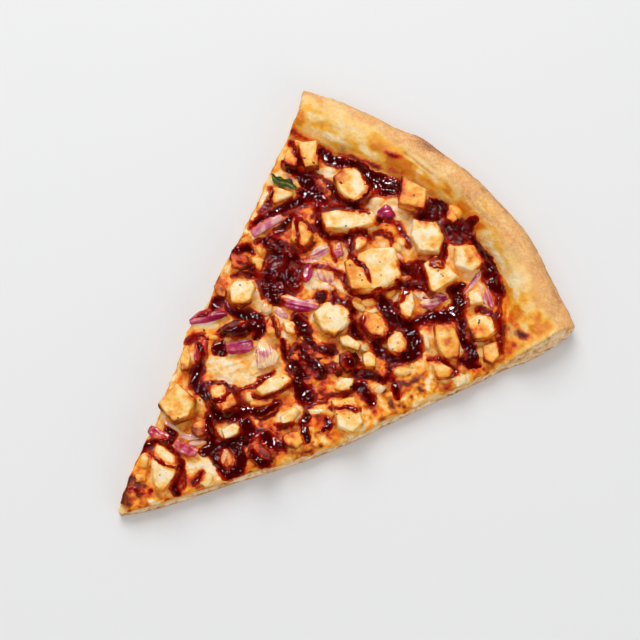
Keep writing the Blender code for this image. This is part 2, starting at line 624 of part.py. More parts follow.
def main():
    for item in list(bpy.data.objects):
        bpy.data.objects.remove(item)
    base = dough()
    melt = cheese()
    bits = [finish(f"bit_{number}", bit_solid(piece, number), (0.8, 0.6, 0.4), 0.5)
            for number, piece in enumerate(BITS)]
    combine(melt, bits, "UNION")
    pockets = [finish(name + "_pocket", pocket(bm), colour, 0.5) for name, bm, colour in toppings()]
    combine(melt, pockets, "DIFFERENCE")
    drop_scraps(melt)
    pieces = [finish(name, bm, colour, 0.5) for name, bm, colour in toppings()]
    everything = [base, melt] + pieces
    corners = [item.matrix_world @ vert.co for item in everything for vert in item.data.vertices]
    shift = Vector((-(min(c.x for c in corners) + max(c.x for c in corners)) / 2.0,
                    -(min(c.y for c in corners) + max(c.y for c in corners)) / 2.0,
                    -min(c.z for c in corners)))
    for item in everything:
        for vert in item.data.vertices:
            vert.co += shift


main()
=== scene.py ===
# %% [markdown]
# # A slice of barbecue chicken pizza
#
# The frame holds a plain solid for each piece of the slice: the dough, the melted cheese, every
# cube of chicken, every petal of onion and one leaf. This lesson gives each of them its real
# surface. It works in millimetres in the slice's own frame, and turns them into metres only when
# a mesh is handed to Blender.

# %% Tools and the frame
import itertools
import math
import random

import bpy
import bmesh
import numpy as np
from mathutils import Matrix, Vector, noise as steady
from mathutils.bvhtree import BVHTree


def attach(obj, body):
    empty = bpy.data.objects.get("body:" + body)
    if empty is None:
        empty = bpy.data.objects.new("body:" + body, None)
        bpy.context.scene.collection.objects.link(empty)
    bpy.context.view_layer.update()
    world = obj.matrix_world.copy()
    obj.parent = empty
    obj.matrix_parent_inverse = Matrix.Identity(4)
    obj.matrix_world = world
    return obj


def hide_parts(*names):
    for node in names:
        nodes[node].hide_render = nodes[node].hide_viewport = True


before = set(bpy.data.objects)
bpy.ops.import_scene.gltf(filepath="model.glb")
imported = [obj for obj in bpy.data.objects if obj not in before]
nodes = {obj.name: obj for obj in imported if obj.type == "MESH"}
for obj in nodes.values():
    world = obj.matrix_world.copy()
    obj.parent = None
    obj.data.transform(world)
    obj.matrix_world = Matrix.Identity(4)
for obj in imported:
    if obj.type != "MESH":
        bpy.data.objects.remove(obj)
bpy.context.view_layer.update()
MM = 0.001                          # metres in a millimetre
print(len(nodes), "solids in the frame")

# %% [markdown]
# ## The camera
#
# The photograph looks down on the slice from 76 degrees above the table, with the point of the
# slice at the lower left. The slice's shape tells the angle: its two cuts are an eighth of a
# circle apart, and the crust is a little foreshortened. The same numbers place the camera and
# tell which pixel of the photograph a point of the slice falls on, so that the sauce can be laid
# along lines that are read off the photograph.

# %% The camera
TIP = np.array((-2.62, -115.61))    # mm, where the two cuts would meet
PICTURE = 640                       # pixels, both ways
LENS, SENSOR = 83.4, 36.0
AIM = Vector((TIP[0] + 0.82, TIP[1] + 130.21, 0.0))
VIEW_TURN, VIEW_RISE = math.radians(44.7), math.radians(76.0)
VIEW_DISTANCE = 700.0

away = Vector((math.sin(VIEW_TURN), -math.cos(VIEW_TURN), 0.0))
eye = AIM + VIEW_DISTANCE * (away * math.cos(VIEW_RISE) + Vector((0, 0, math.sin(VIEW_RISE))))
forward = (AIM - eye).normalized()
right = forward.cross(Vector((0, 0, 1))).normalized()
up = right.cross(forward)


def pixels(points):
    """The photograph's pixels (u, v) that points (n, 3) in millimetres fall on."""
    offset = points - np.array(eye)
    reach = LENS / SENSOR * PICTURE / (offset @ np.array(forward))
    u = PICTURE / 2 + reach * (offset @ np.array(right))
    v = PICTURE / 2 - reach * (offset @ np.array(up))
    return u, v


def picture_side(degrees):
    """The level direction that looks like this angle in the photograph, from its right."""
    angle = math.radians(degrees)
    return right * math.cos(angle) - away * math.sin(angle)


camera_data = bpy.data.cameras.new("camera")
camera_data.lens, camera_data.sensor_width = LENS, SENSOR
camera_data.clip_start = 0.01
camera = bpy.data.objects.new("camera", camera_data)
camera.location = eye * MM
camera.rotation_euler = forward.to_track_quat("-Z", "Y").to_euler()
bpy.context.scene.collection.objects.link(camera)
bpy.context.scene.camera = camera
print("camera at", [round(c) for c in eye], "mm")

# %% [markdown]
# ## Floor and light
#
# The slice is lit like food on a white table by a window: a pale even sky, and one large soft
# light from above that gives the shadows their side. Neither is mirrored, which keeps wet sauce
# deep and clear, as a photographer's black flags do. The gloss is made by small bright panels of
# its own: they only show as mirrored white flecks and light nothing else.

# %% Floor and light
scene = bpy.context.scene
scene.view_settings.view_transform = "Standard"
FLOOR_HALF = 3000.0                 # mm
FLOOR_COLOUR = (0.80, 0.802, 0.808, 1.0)
SKY = 0.60                          # strength


def lamp(name, degrees, reach, height, size, watts, gloss=False):
    """A square lamp on the given side of the picture: it either lights the slice or glints on it."""
    data = bpy.data.lights.new(name, "AREA")
    data.size = size * MM
    data.energy = watts
    item = bpy.data.objects.new(name, data)
    place = AIM + picture_side(degrees) * reach + Vector((0.0, 0.0, height))
    item.location = place * MM
    item.rotation_euler = (AIM - place).to_track_quat("-Z", "Y").to_euler()
    item.visible_glossy, item.visible_diffuse = gloss, not gloss
    scene.collection.objects.link(item)


world = bpy.data.worlds.new("sky")
world.use_nodes = True
sky = world.node_tree.nodes["Background"]
sky.inputs["Color"].default_value = (1.0, 1.0, 1.0, 1.0)
sky.inputs["Strength"].default_value = SKY
world.cycles_visibility.glossy = False
scene.world = world
# side in the picture, reach, height and size in mm, watts
lamp("key", 104, 1800, 1900, 1600, 41.0)
lamp("fill", -50, 1500, 700, 900, 3.0)
lamp("glint_back", 85, 900, 1200, 200, 8.0, gloss=True)
lamp("glint_left", 150, 1100, 1000, 190, 7.0, gloss=True)
lamp("glint_front", 235, 700, 1300, 120, 1.8, gloss=True)

bm = bmesh.new()
bmesh.ops.create_grid(bm, x_segments=1, y_segments=1, size=FLOOR_HALF * MM)
floor_mesh = bpy.data.meshes.new("floor")
bm.to_mesh(floor_mesh)
bm.free()
floor = bpy.data.objects.new("floor", floor_mesh)
floor_paint = bpy.data.materials.new("floor")
floor_paint.use_nodes = True
floor_shader = floor_paint.node_tree.nodes["Principled BSDF"]
floor_shader.inputs["Base Color"].default_value = FLOOR_COLOUR
floor_shader.inputs["Roughness"].default_value = 0.6
floor_mesh.materials.append(floor_paint)
floor.visible_glossy = False
scene.collection.objects.link(floor)
print("sky, 2 lamps, 3 glints and a floor")

# %% [markdown]
# ## Noise for food
#
# No surface of cooked food is even. One function gives smooth random lumps of any size at any
# point, and a second adds finer and finer lumps to it. The numbers come from the place alone, so
# each run gives the same slice.

# %% Noise for food
SCRAMBLE = np.array((374761393, 668265263, 1440662683))     # a large odd number for each axis
STIR, POSITIVE, TOP = 1274126177, 0x7FFFFFFF, 0xFFFF


def lumps(points, size, seed=0):
    """Smooth noise between -1 and 1 with lumps of a size in millimetres, or (x, y, z) sizes."""
    place = points / np.array(size) + seed * 17.31
    cell = np.floor(place).astype(np.int64)
    part = place - cell
    blend = part * part * (3.0 - 2.0 * part)
    total = np.zeros(len(points))
    for corner in itertools.product((0, 1), repeat=3):
        key = ((cell + corner) @ SCRAMBLE + seed * 97) & POSITIVE
        key = ((key ^ (key >> 13)) * STIR) & POSITIVE
        value = ((key ^ (key >> 16)) & TOP) / (TOP / 2.0) - 1.0
        total += value * np.prod(np.where(corner, blend, 1.0 - blend), axis=1)
    return total


def rough(points, size, seed=0, octaves=3):
    """Lumps with finer lumps on them."""
    return sum(lumps(points, size / 2.1 ** n, seed + n) * 0.55 ** n for n in range(octaves))


def ease(low, high, value):
    """0 below low, 1 above high, and smooth between."""
    t = np.clip((value - low) / (high - low), 0.0, 1.0)
    return t * t * (3.0 - 2.0 * t)


print("lumps at one point:", lumps(np.array([[1.0, 2.0, 3.0]]), 4.0))

# %% [markdown]
# ## The sauce's lines
#
# Barbecue sauce is squeezed from a bottle in loose loops, and it pools where the bottle paused.
# Each line below follows one such thread in the photograph: pixel, pixel, width in pixels. A
# pixel of the photograph is 0.47 mm on the slice.

# %% The sauce's lines
PIXEL = 0.472                       # mm on the slice
THREADS = (
    # beside the crust
    ((320, 152, 10), (332, 160, 12), (345, 163, 10), (358, 163, 8), (366, 170, 12), (374, 180, 18),
     (384, 186, 22), (394, 187, 18)),
    ((329, 186, 7), (340, 200, 7), (352, 206, 8), (364, 200, 8), (370, 188, 6)),
    ((288, 168, 9), (297, 172, 9), (306, 178, 9), (312, 186, 9), (316, 192, 8)),
    ((303, 180, 12), (309, 184, 13)), ((300, 193, 8), (312, 196, 12), (324, 200, 10)),
    ((291, 142, 6), (295, 150, 6), (299, 160, 5), (301, 168, 4)),
    ((283, 162, 4), (287, 168, 6), (294, 168, 6)),
    ((301, 172, 4), (312, 174, 4), (322, 178, 4), (330, 187, 4), (338, 196, 4), (346, 203, 4)),
    # the left half, from the crust down
    ((250, 228, 4), (258, 220, 7), (270, 214, 8), (285, 208, 9), (300, 201, 11), (320, 195, 10)),
    ((271, 187, 5), (272, 195, 5), (268, 203, 5), (263, 210, 5), (258, 219, 5)),
    ((318, 206, 7), (318, 220, 7), (322, 234, 8), (330, 238, 7), (342, 238, 7), (352, 235, 7),
     (360, 231, 6), (366, 233, 6), (370, 239, 6)),
    ((322, 207, 5), (335, 206, 5), (350, 208, 6), (362, 211, 5), (369, 213, 4)),
    ((296, 216, 5), (297, 228, 5), (297, 240, 5), (299, 247, 4)),
    ((299, 215, 4), (304, 222, 4), (310, 229, 4), (313, 231, 3)),
    ((293, 214, 6), (285, 224, 8), (278, 233, 6), (264, 240, 5), (256, 243, 4)),
    ((303, 250, 5), (310, 246, 5), (313, 243, 4)),
    ((330, 246, 4), (332, 255, 4), (336, 260, 4)),
    ((352, 235, 5), (350, 246, 5), (350, 257, 5), (357, 257, 4)),
    ((356, 259, 6), (361, 264, 6), (366, 269, 5), (369, 276, 5), (371, 281, 4)),
    ((313, 265, 5), (322, 266, 5), (334, 269, 5), (342, 274, 5), (344, 282, 5)),
    ((345, 287, 4), (352, 293, 5), (361, 298, 5), (370, 297, 5), (374, 295, 4)),
    ((374, 291, 4), (376, 288, 4), (384, 290, 4), (392, 290, 4), (398, 287, 4), (404, 288, 4), (408, 293, 4)),
    ((404, 292, 4), (402, 300, 4), (396, 303, 4), (397, 310, 4), (401, 317, 4)),
    ((244, 219, 2), (252, 221, 3), (250, 227, 4)),
    # the right half, beside the crust
    ((379, 220, 9),),
    ((384, 220, 5), (392, 222, 5), (400, 226, 5), (402, 232, 5), (406, 236, 4), (408, 242, 4), (410, 247, 4)),
    ((374, 234, 4), (381, 232, 4), (390, 234, 4), (392, 240, 4), (391, 246, 4)),
    ((398, 280, 6), (400, 285, 6), (410, 286, 7), (422, 288, 7), (430, 294, 6)),
    ((446, 243, 6), (445, 252, 6), (443, 258, 5)),
    ((472, 238, 8), (480, 250, 8), (488, 258, 10), (490, 272, 18), (494, 285, 16), (503, 292, 8),
     (499, 300, 5), (499, 310, 4), (500, 320, 5), (502, 330, 6), (501, 342, 6), (502, 352, 5)),
    ((431, 262, 4), (434, 258, 4), (440, 258, 4), (444, 262, 4), (442, 267, 4), (435, 268, 4), (431, 265, 4),
     (431, 262, 4)),
    ((434, 262, 3), (440, 263, 3)),
    ((474, 221, 5),),
    ((476, 311, 4), (484, 308, 4), (491, 314, 5), (496, 322, 5), (498, 331, 4)),
    # across the middle
    ((455, 290, 14), (460, 302, 16), (455, 314, 16), (442, 317, 14), (430, 318, 12), (418, 322, 9),
     (408, 326, 11), (398, 322, 10), (390, 312, 14), (385, 304, 11), (381, 297, 6)),
    ((462, 285, 8), (455, 290, 8)),
    ((460, 314, 10), (462, 326, 9), (462, 338, 8), (470, 348, 12), (473, 357, 12), (468, 364, 8)),
    ((410, 328, 14), (414, 340, 17), (415, 350, 17), (410, 358, 11), (397, 361, 8), (386, 356, 10),
     (378, 350, 12), (376, 344, 12), (382, 338, 5)),
    ((390, 320, 10), (392, 328, 6), (388, 336, 5)),
    ((381, 304, 8), (386, 312, 10), (392, 320, 12)),
    ((349, 300, 5), (352, 309, 5), (351, 317, 6), (355, 323, 6), (354, 332, 9), (360, 337, 8)),
    ((333, 300, 6), (340, 301, 6), (348, 304, 6), (354, 312, 6)),
    ((321, 297, 14),),
    ((333, 292, 6), (334, 302, 6)),
    ((283, 303, 6), (275, 300, 12), (270, 290, 14)),
    ((296, 318, 10), (302, 326, 16), (306, 334, 12), (311, 342, 7), (316, 349, 7)),
    ((320, 349, 9), (331, 352, 10)),
    ((351, 361, 18),),
    ((356, 372, 8), (366, 375, 10), (376, 376, 10), (384, 382, 8), (390, 372, 6), (389, 362, 6)),
    ((392, 378, 6), (396, 390, 8), (398, 398, 6)),
    ((352, 388, 8), (362, 386, 12), (366, 394, 8), (370, 398, 12), (372, 402, 10)),
    ((326, 398, 4), (336, 394, 4), (346, 393, 4), (353, 391, 4)),
    ((330, 407, 4), (338, 409, 5), (346, 407, 5), (354, 409, 6), (360, 409, 4)),
    ((300, 403, 5), (312, 404, 4), (322, 402, 3), (328, 399, 3)),
    ((294, 366, 14), (300, 374, 16), (298, 384, 14), (304, 394, 20), (310, 398, 12)),
    ((298, 348, 9), (305, 357, 10), (316, 365, 11), (324, 372, 10), (318, 377, 8)),
    ((283, 340, 6), (284, 350, 7), (286, 358, 6), (291, 360, 6)),
    ((272, 317, 5), (275, 326, 5), (278, 335, 5)),
    ((364, 318, 5), (360, 324, 5), (366, 333, 5), (374, 339, 4), (384, 337, 4), (390, 330, 3)),
    ((428, 360, 5), (438, 358, 4), (446, 362, 4), (454, 368, 4), (458, 372, 4), (452, 377, 3)),
    ((404, 354, 9),),
    ((460, 360, 6), (470, 366, 8), (480, 366, 5)),
    ((333, 366, 6), (338, 374, 7)),
    # the left edge
    ((226, 307, 6), (236, 314, 8), (248, 316, 11), (258, 318, 12), (262, 328, 10), (256, 337, 8)),
    ((222, 334, 8), (230, 331, 12), (242, 331, 14), (254, 326, 12)),
    ((222, 342, 6), (218, 349, 14), (222, 352, 12)),
    ((187, 342, 5), (194, 336, 4), (203, 335, 4), (207, 339, 4)),
    ((199, 345, 7), (203, 355, 7), (200, 365, 8), (196, 374, 10), (194, 384, 10), (200, 390, 12),
     (206, 396, 10)),
    ((232, 277, 5), (240, 274, 5), (250, 275, 6), (258, 277, 6)),
    ((238, 250, 10), (246, 248, 10), (252, 252, 6)),
    ((238, 262, 5), (248, 264, 5), (254, 270, 5), (258, 276, 5)),
    ((216, 300, 8), (214, 308, 8), (222, 300, 6), (228, 306, 6)),
    ((196, 318, 4), (206, 314, 6)),
    # towards the point
    ((202, 384, 5), (212, 383, 6), (224, 384, 6), (233, 390, 6), (239, 398, 6), (240, 408, 6), (238, 414, 6)),
    ((204, 388, 6), (208, 396, 6), (214, 402, 7), (222, 400, 6), (226, 396, 5), (232, 390, 5)),
    ((212, 408, 8), (216, 416, 10), (230, 416, 14), (240, 413, 12), (250, 410, 8), (262, 413, 10),
     (272, 408, 8), (280, 404, 4)),
    ((246, 424, 14), (250, 432, 14), (246, 440, 12), (234, 441, 8), (222, 445, 10), (212, 449, 14),
     (204, 452, 10)),
    ((208, 418, 10), (210, 430, 10), (214, 438, 8), (210, 446, 8)),
    ((214, 452, 12), (216, 462, 8), (222, 470, 8), (228, 476, 10), (238, 470, 14), (242, 458, 12),
     (238, 448, 10), (228, 444, 8)),
    ((252, 452, 8), (256, 458, 12), (262, 464, 12), (268, 462, 8)),
    ((266, 436, 14), (272, 444, 12), (284, 446, 8)),
    ((278, 426, 6), (286, 426, 5), (294, 424, 4)),
    ((304, 430, 8), (308, 440, 8)),
    ((302, 424, 7), (307, 418, 8), (306, 413, 6)),
    ((327, 419, 6), (330, 425, 7), (324, 430, 6)),
    ((240, 391, 4), (246, 388, 4), (254, 388, 4), (260, 381, 5), (268, 376, 5), (275, 372, 3)),
    ((252, 396, 4), (262, 398, 4), (272, 395, 4), (282, 391, 4), (292, 385, 5), (298, 386, 5)),
    ((168, 430, 8), (174, 434, 8), (170, 442, 8)),
    ((145, 428, 5), (151, 418, 6), (154, 414, 4)),
    ((140, 452, 5), (146, 446, 6), (156, 441, 6), (164, 441, 6), (170, 447, 5), (178, 455, 5),
     (183, 463, 5), (181, 472, 5), (177, 477, 6), (175, 488, 7), (179, 494, 7)),
    ((150, 454, 4), (158, 460, 5), (166, 465, 4), (174, 468, 5), (180, 468, 5)),
    ((183, 478, 4), (184, 488, 3)),
    ((129, 489, 5), (137, 490, 5), (143, 491, 4)),
    ((151, 490, 6),),
    ((202, 472, 5), (198, 480, 5), (194, 486, 4)),
)
print(len(THREADS), "threads of sauce")

# %% The sauce's lines: on the crust, torn places and pools
# CRUST_LINES are thin threads on the crust's foot. TORN are (u, v, long, wide, turn, strength) of
# places where food shows through. POOLS are outlines (u, v).
CRUST_LINES = (
    ((291, 130, 7), (300, 136, 6), (312, 141, 5), (326, 148, 5), (340, 153, 4), (352, 157, 5), (366, 161, 5),
     (380, 167, 6), (394, 171, 6), (405, 176, 4)),
    ((384, 151, 5), (392, 156, 7), (401, 157, 5)),
    ((430, 191, 4), (443, 203, 4), (452, 214, 4), (466, 226, 5)),
    ((500, 300, 5), (505, 310, 5), (512, 320, 5), (519, 329, 7), (523, 336, 9)),
    ((523, 336, 7), (533, 338, 5), (541, 337, 4)),
    ((504, 322, 7), (504, 336, 9), (502, 348, 9)), ((512, 350, 8), (505, 356, 8)),
    ((509, 341, 6), (514, 346, 8)), ((294, 102, 3), (295, 114, 3), (292, 126, 4)),
)
TORN = (
    (262, 272, 12, 22, 0, 1.0), (280, 246, 30, 10, -20, 0.8), (272, 284, 16, 10, 0, 0.8),
    (294, 270, 10, 26, 0, 0.7), (266, 256, 12, 12, 0, 0.9), (240, 334, 24, 8, 0, 0.5),
    (304, 372, 16, 26, 0, 0.7), (236, 444, 26, 14, 0, 0.7), (262, 424, 22, 14, 0, 0.8),
    (300, 350, 20, 16, 0, 0.8), (356, 372, 24, 12, 0, 0.6), (416, 336, 14, 14, 0, 0.4),
)
POOLS = (
    ((258, 240), (270, 234), (282, 240), (292, 247), (298, 252), (302, 262), (303, 280), (300, 292),
     (283, 296), (262, 298), (260, 284), (262, 272), (266, 262), (270, 252)),
    ((397, 258), (404, 263), (412, 261), (420, 259), (424, 270), (430, 284), (418, 280), (405, 274),
     (400, 268)),
    ((428, 198), (440, 199), (449, 204), (448, 214), (440, 221), (428, 223), (418, 220), (411, 213),
     (420, 211), (426, 205)),
    ((441, 222), (452, 220), (462, 222), (470, 216), (478, 215), (480, 220), (474, 228), (473, 238),
     (466, 243), (452, 245), (446, 238)),
)
print(len(CRUST_LINES), "lines on the crust and", len(POOLS), "pools")

# %% [markdown]
# ## The sauce's map
#
# The lines become a map with two samples to each pixel of the photograph. A thread is as round as
# the upper half of a pipe, and a pool is flat with a soft shore. Little splashes join them where
# much sauce is near. Blurred copies of the map tell how close a point is to the sauce, which
# stains what lies beside it.

# %% The sauce's map: helpers
FINE = 2                            # samples to a pixel in the maps
THREAD_TALL = 0.50                  # height of a thread, as a share of half its width
THREAD_MOST = 1.0                   # mm
grid_v, grid_u = np.mgrid[0:PICTURE * FINE, 0:PICTURE * FINE] / FINE


def near(points, margin):
    """The part of the map round some (u, v) points."""
    low, high = np.min(points, axis=0)[:2] - margin, np.max(points, axis=0)[:2] + margin
    columns = slice(int(max(low[0], 0) * FINE), int(high[0] * FINE) + 2)
    return slice(int(max(low[1], 0) * FINE), int(high[1] * FINE) + 2), columns


def thread_map(threads):
    """Thickness in millimetres of round threads of sauce."""
    deep = np.zeros_like(grid_u)
    for thread in threads:
        for (au, av, aw), (bu, bv, bw) in zip(thread, thread[1:] or thread):
            part = near(((au, av), (bu, bv)), max(aw, bw))
            u, v = grid_u[part] - au, grid_v[part] - av
            length = (bu - au) ** 2 + (bv - av) ** 2 + 1e-6
            along = np.clip((u * (bu - au) + v * (bv - av)) / length, 0.0, 1.0)
            half = (aw + (bw - aw) * along) / 2.0
            off = np.hypot(u - along * (bu - au), v - along * (bv - av)) / half
            tall = np.minimum(half * PIXEL * THREAD_TALL, THREAD_MOST)
            deep[part] = np.maximum(deep[part], tall * np.sqrt(np.clip(1.0 - off ** 2, 0.0, 1.0)))
    return deep


def blur(field, reach):
    """Soften a map with a bell curve, reach in map samples."""
    span = np.arange(-int(3 * reach), int(3 * reach) + 1)
    bell = np.exp(-0.5 * (span / reach) ** 2)
    for axis in (0, 1):
        field = sum(np.roll(field, step, axis) * share for step, share in zip(span, bell / bell.sum()))
    return field


def pool_map(pools, tall):
    """Thickness of flat pools inside outlines."""
    filled = np.zeros_like(grid_u)
    for pool in pools:
        part = near(pool, 1)
        u, v = grid_u[part], grid_v[part]
        odd = np.zeros(u.shape, bool)
        for (au, av), (bu, bv) in zip(pool, pool[1:] + pool[:1]):
            if av != bv:
                odd ^= ((av > v) != (bv > v)) & (u < au + (bu - au) * (v - av) / (bv - av))
        filled[part] = np.maximum(filled[part], odd)
    return tall * ease(0.25, 0.95, blur(filled, 3.0))


def look_up(field, u, v):
    """Read a map at pixels (u, v), blending between its samples."""
    x = np.clip(u * FINE, 0, PICTURE * FINE - 2.001)
    y = np.clip(v * FINE, 0, PICTURE * FINE - 2.001)
    column, row = x.astype(int), y.astype(int)
    x, y = x - column, y - row
    top = field[row, column] * (1 - x) + field[row, column + 1] * x
    low = field[row + 1, column] * (1 - x) + field[row + 1, column + 1] * x
    return top * (1 - y) + low * y


# %% The sauce's map
POOL_DEEP, SPLASH_DEEP = 0.75, 0.46     # mm
WET = 0.05                          # mm: what is thinner doesn't count as sauce
sauce_map = np.maximum(thread_map(THREADS), pool_map(POOLS, POOL_DEEP))
map_points = np.column_stack((grid_u.ravel(), grid_v.ravel(), np.zeros(grid_u.size)))
drops = (lumps(map_points, 5.5, 81) + 0.5 * lumps(map_points, 2.6, 82)).reshape(grid_u.shape)
around = blur((sauce_map > WET).astype(float), 7.0)
splashes = SPLASH_DEEP * ease(0.16, 0.42, drops) * ease(0.26, 0.58, around)
sauce_map = np.maximum(sauce_map, splashes)
lies = (sauce_map > WET).astype(float)
close_map, near_map, far_map = blur(lies, 2.8), blur(lies, 6.0), blur(lies, 15.0)
crust_map = blur(np.minimum(thread_map(CRUST_LINES) / 0.6, 1.0), 2.6)
print("sauce covers", round(lies.mean() * 100, 1), "% of the map")


def wandering(points, coarse, fine, seed):
    """Pixels of points, moved about by noise. Coarse and fine are (pixels, size in millimetres)."""
    u, v = pixels(points)
    for number, (reach, size) in enumerate((coarse, fine), seed):
        u = u + reach * lumps(points, size, number)
        v = v + reach * lumps(points, size, number + 2)
    return u, v


def sauce_near(points, spread=1.0):
    """How much sauce lies close to points, from 0 to 1, for stains on what is under it."""
    u, v = wandering(points, (2.2, 3.5), (1.2, 1.4), 3)
    amount = 0.66 * ease(0.06, 0.55, look_up(close_map, u, v))
    amount += spread * 0.35 * ease(0.08, 0.55, look_up(near_map, u, v))
    amount += spread * 0.22 * ease(0.10, 0.5, look_up(far_map, u, v))
    return np.clip(amount, 0.0, 1.0)


# %% [markdown]
# ## Patches of colour
#
# Heat paints food in patches: a browned spot on the cheese, a golden side of a cube, an oily
# amber pool on the crust. A patch is an ellipse in the photograph's pixels, with a soft edge
# that noise makes ragged. The function gives how strongly a set of patches covers each point.

# %% Patches of colour
def patches(spots, points, ragged=0.35, seed=11, fade=(1.25, 0.45)):
    """Cover from 0 to 1 by soft ellipses (u, v, long, wide, turn, strength)."""
    u, v = pixels(points)
    edge = ragged * rough(points, 5.0, seed)
    cover = np.zeros(len(points))
    for spot_u, spot_v, long, wide, turn, strength in spots:
        angle = math.radians(turn)
        du, dv = u - spot_u, spot_v - v
        along = (du * math.cos(angle) + dv * math.sin(angle)) / (long / 2.0)
        across = (dv * math.cos(angle) - du * math.sin(angle)) / (wide / 2.0)
        cover = np.maximum(cover, strength * ease(*fade, np.hypot(along, across) + edge))
    return cover


def srgb(red, green, blue):
    """A colour as a picture editor gives it, 0 to 255, as the linear colour shaders use."""
    return tuple((c / 255.0 / 12.92) if c < 10.3 else ((c / 255.0 + 0.055) / 1.055) ** 2.4
                 for c in (red, green, blue)) + (1.0,)


print("cream is", [round(c, 2) for c in srgb(250, 224, 178)])

# %% [markdown]
# ## Helpers for meshes and materials
#
# Every fine piece starts as a merged copy of its solid, so it has the right form and place. A
# voxel remesh turns the few flat faces into an even net of small ones, which can then be
# smoothed and roughened. Values that vary over a piece, such as how browned it is, are stored on
# its points, and the material reads them by name.

# %% Helpers for meshes
def even_nets(names, voxel):
    """Merged copies of solids, remeshed to an even net: a dict of name to bmesh, in millimetres."""
    items = {}
    for name in names:
        bm = bmesh.new()
        bm.from_mesh(nodes[name].data)
        bmesh.ops.remove_doubles(bm, verts=bm.verts[:], dist=1e-5)
        bmesh.ops.scale(bm, vec=(1000.0, 1000.0, 1000.0), verts=bm.verts[:])
        mesh = bpy.data.meshes.new("net")
        bm.to_mesh(mesh)
        bm.free()
        item = bpy.data.objects.new("net", mesh)
        step = item.modifiers.new("even", "REMESH")
        step.mode = "VOXEL"
        step.voxel_size = voxel
        scene.collection.objects.link(item)
        items[name] = item
    graph = bpy.context.evaluated_depsgraph_get()
    nets = {}
    for name, item in items.items():
        bm = bmesh.new()
        bm.from_mesh(item.evaluated_get(graph).data)
        nets[name] = bm
    for item in items.values():
        mesh = item.data
        bpy.data.objects.remove(item)
        bpy.data.meshes.remove(mesh)
    return nets


def soften(bm, rounds):
    """Round off the corners of a net."""
    for _ in range(rounds):
        bmesh.ops.smooth_vert(bm, verts=bm.verts[:], factor=0.5,
                              use_axis_x=True, use_axis_y=True, use_axis_z=True)


def places(bm):
    return np.array([vert.co for vert in bm.verts])


def facings(bm):
    bm.normal_update()
    return np.array([vert.normal for vert in bm.verts])


def move_to(bm, points):
    for vert, point in zip(bm.verts, points.tolist()):
        vert.co = point


def piece(name, bm, material, values, stands_for=()):
    """Make a finished object from a bmesh in millimetres, with named values on its points."""
    bmesh.ops.scale(bm, vec=(MM, MM, MM), verts=bm.verts[:])
    mesh = bpy.data.meshes.new(name)
    bm.to_mesh(mesh)
    bm.free()
    for key, value in values.items():
        layer = mesh.attributes.new(key, "FLOAT", "POINT")
        layer.data.foreach_set("value", np.asarray(value, np.float32))
    mesh.shade_smooth()
    mesh.materials.append(material)
    item = bpy.data.objects.new(name, mesh)
    scene.collection.objects.link(item)
    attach(item, "root")
    if stands_for:
        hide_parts(*stands_for)
    return item


print("mesh helpers ready")


# %% Helpers for materials
def material(name, roughness, **sockets):
    """A Principled material, its tree and its shader, with constants on the shader's sockets."""
    made = bpy.data.materials.new(name)
    made.use_nodes = True
    tree = made.node_tree
    shader = tree.nodes["Principled BSDF"]
    shader.inputs["Roughness"].default_value = roughness
    for key, value in sockets.items():
        shader.inputs[key.replace("_", " ")].default_value = value
    return made, tree, shader


def ramp(tree, value, stops):
    """A colour ramp: stops of (place, colour)."""
    node = tree.nodes.new("ShaderNodeValToRGB")
    node.color_ramp.interpolation = "EASE"
    while len(node.color_ramp.elements) < len(stops):
        node.color_ramp.elements.new(0.5)
    for element, (place, colour) in zip(node.color_ramp.elements, stops):
        element.position = place
        element.color = colour
    tree.links.new(value, node.inputs["Fac"])
    return node.outputs["Color"]


def named_value(tree, name):
    node = tree.nodes.new("ShaderNodeAttribute")
    node.attribute_name = name
    return node.outputs["Fac"]


def noise(tree, scale, detail=3.0, roughness=0.55, stretch=None):
    """Noise on Object coordinates: scale is lumps a metre."""
    spot = tree.nodes.new("ShaderNodeTexCoord").outputs["Object"]
    if stretch:
        mapping = tree.nodes.new("ShaderNodeMapping")
        mapping.inputs["Scale"].default_value = stretch
        tree.links.new(spot, mapping.inputs["Vector"])
        spot = mapping.outputs["Vector"]
    node = tree.nodes.new("ShaderNodeTexNoise")
    node.inputs["Scale"].default_value = scale
    node.inputs["Detail"].default_value = detail
    node.inputs["Roughness"].default_value = roughness
    tree.links.new(spot, node.inputs["Vector"])
    return node.outputs["Fac"]


def sums(tree, operation, first, second, third=None):
    """A Math node. Each input is a socket or a number."""
    node = tree.nodes.new("ShaderNodeMath")
    node.operation = operation
    for socket, value in zip(node.inputs, (first, second, third)):
        if isinstance(value, (int, float)):
            socket.default_value = value
        elif value is not None:
            tree.links.new(value, socket)
    return node.outputs[0]


def uneven(tree, value, scale, detail, roughness, amount):
    """A value with noise added to it."""
    grain = sums(tree, "SUBTRACT", noise(tree, scale, detail, roughness), 0.5)
    return sums(tree, "ADD", value, sums(tree, "MULTIPLY", grain, amount))


def mixed(tree, share, first, second):
    """Mix two colours by a share."""
    node = tree.nodes.new("ShaderNodeMix")
    node.data_type = "RGBA"
    for socket, value in ((node.inputs[0], share), (node.inputs[6], first), (node.inputs[7], second)):
        if isinstance(value, (tuple, float)):
            socket.default_value = value
        else:
            tree.links.new(value, socket)
    return node.outputs[2]


def bump(tree, shader, height, strength, distance):
    node = tree.nodes.new("ShaderNodeBump")
    node.inputs["Strength"].default_value = strength
    node.inputs["Distance"].default_value = distance
    tree.links.new(height, node.inputs["Height"])
    tree.links.new(node.outputs["Normal"], shader.inputs["Normal"])


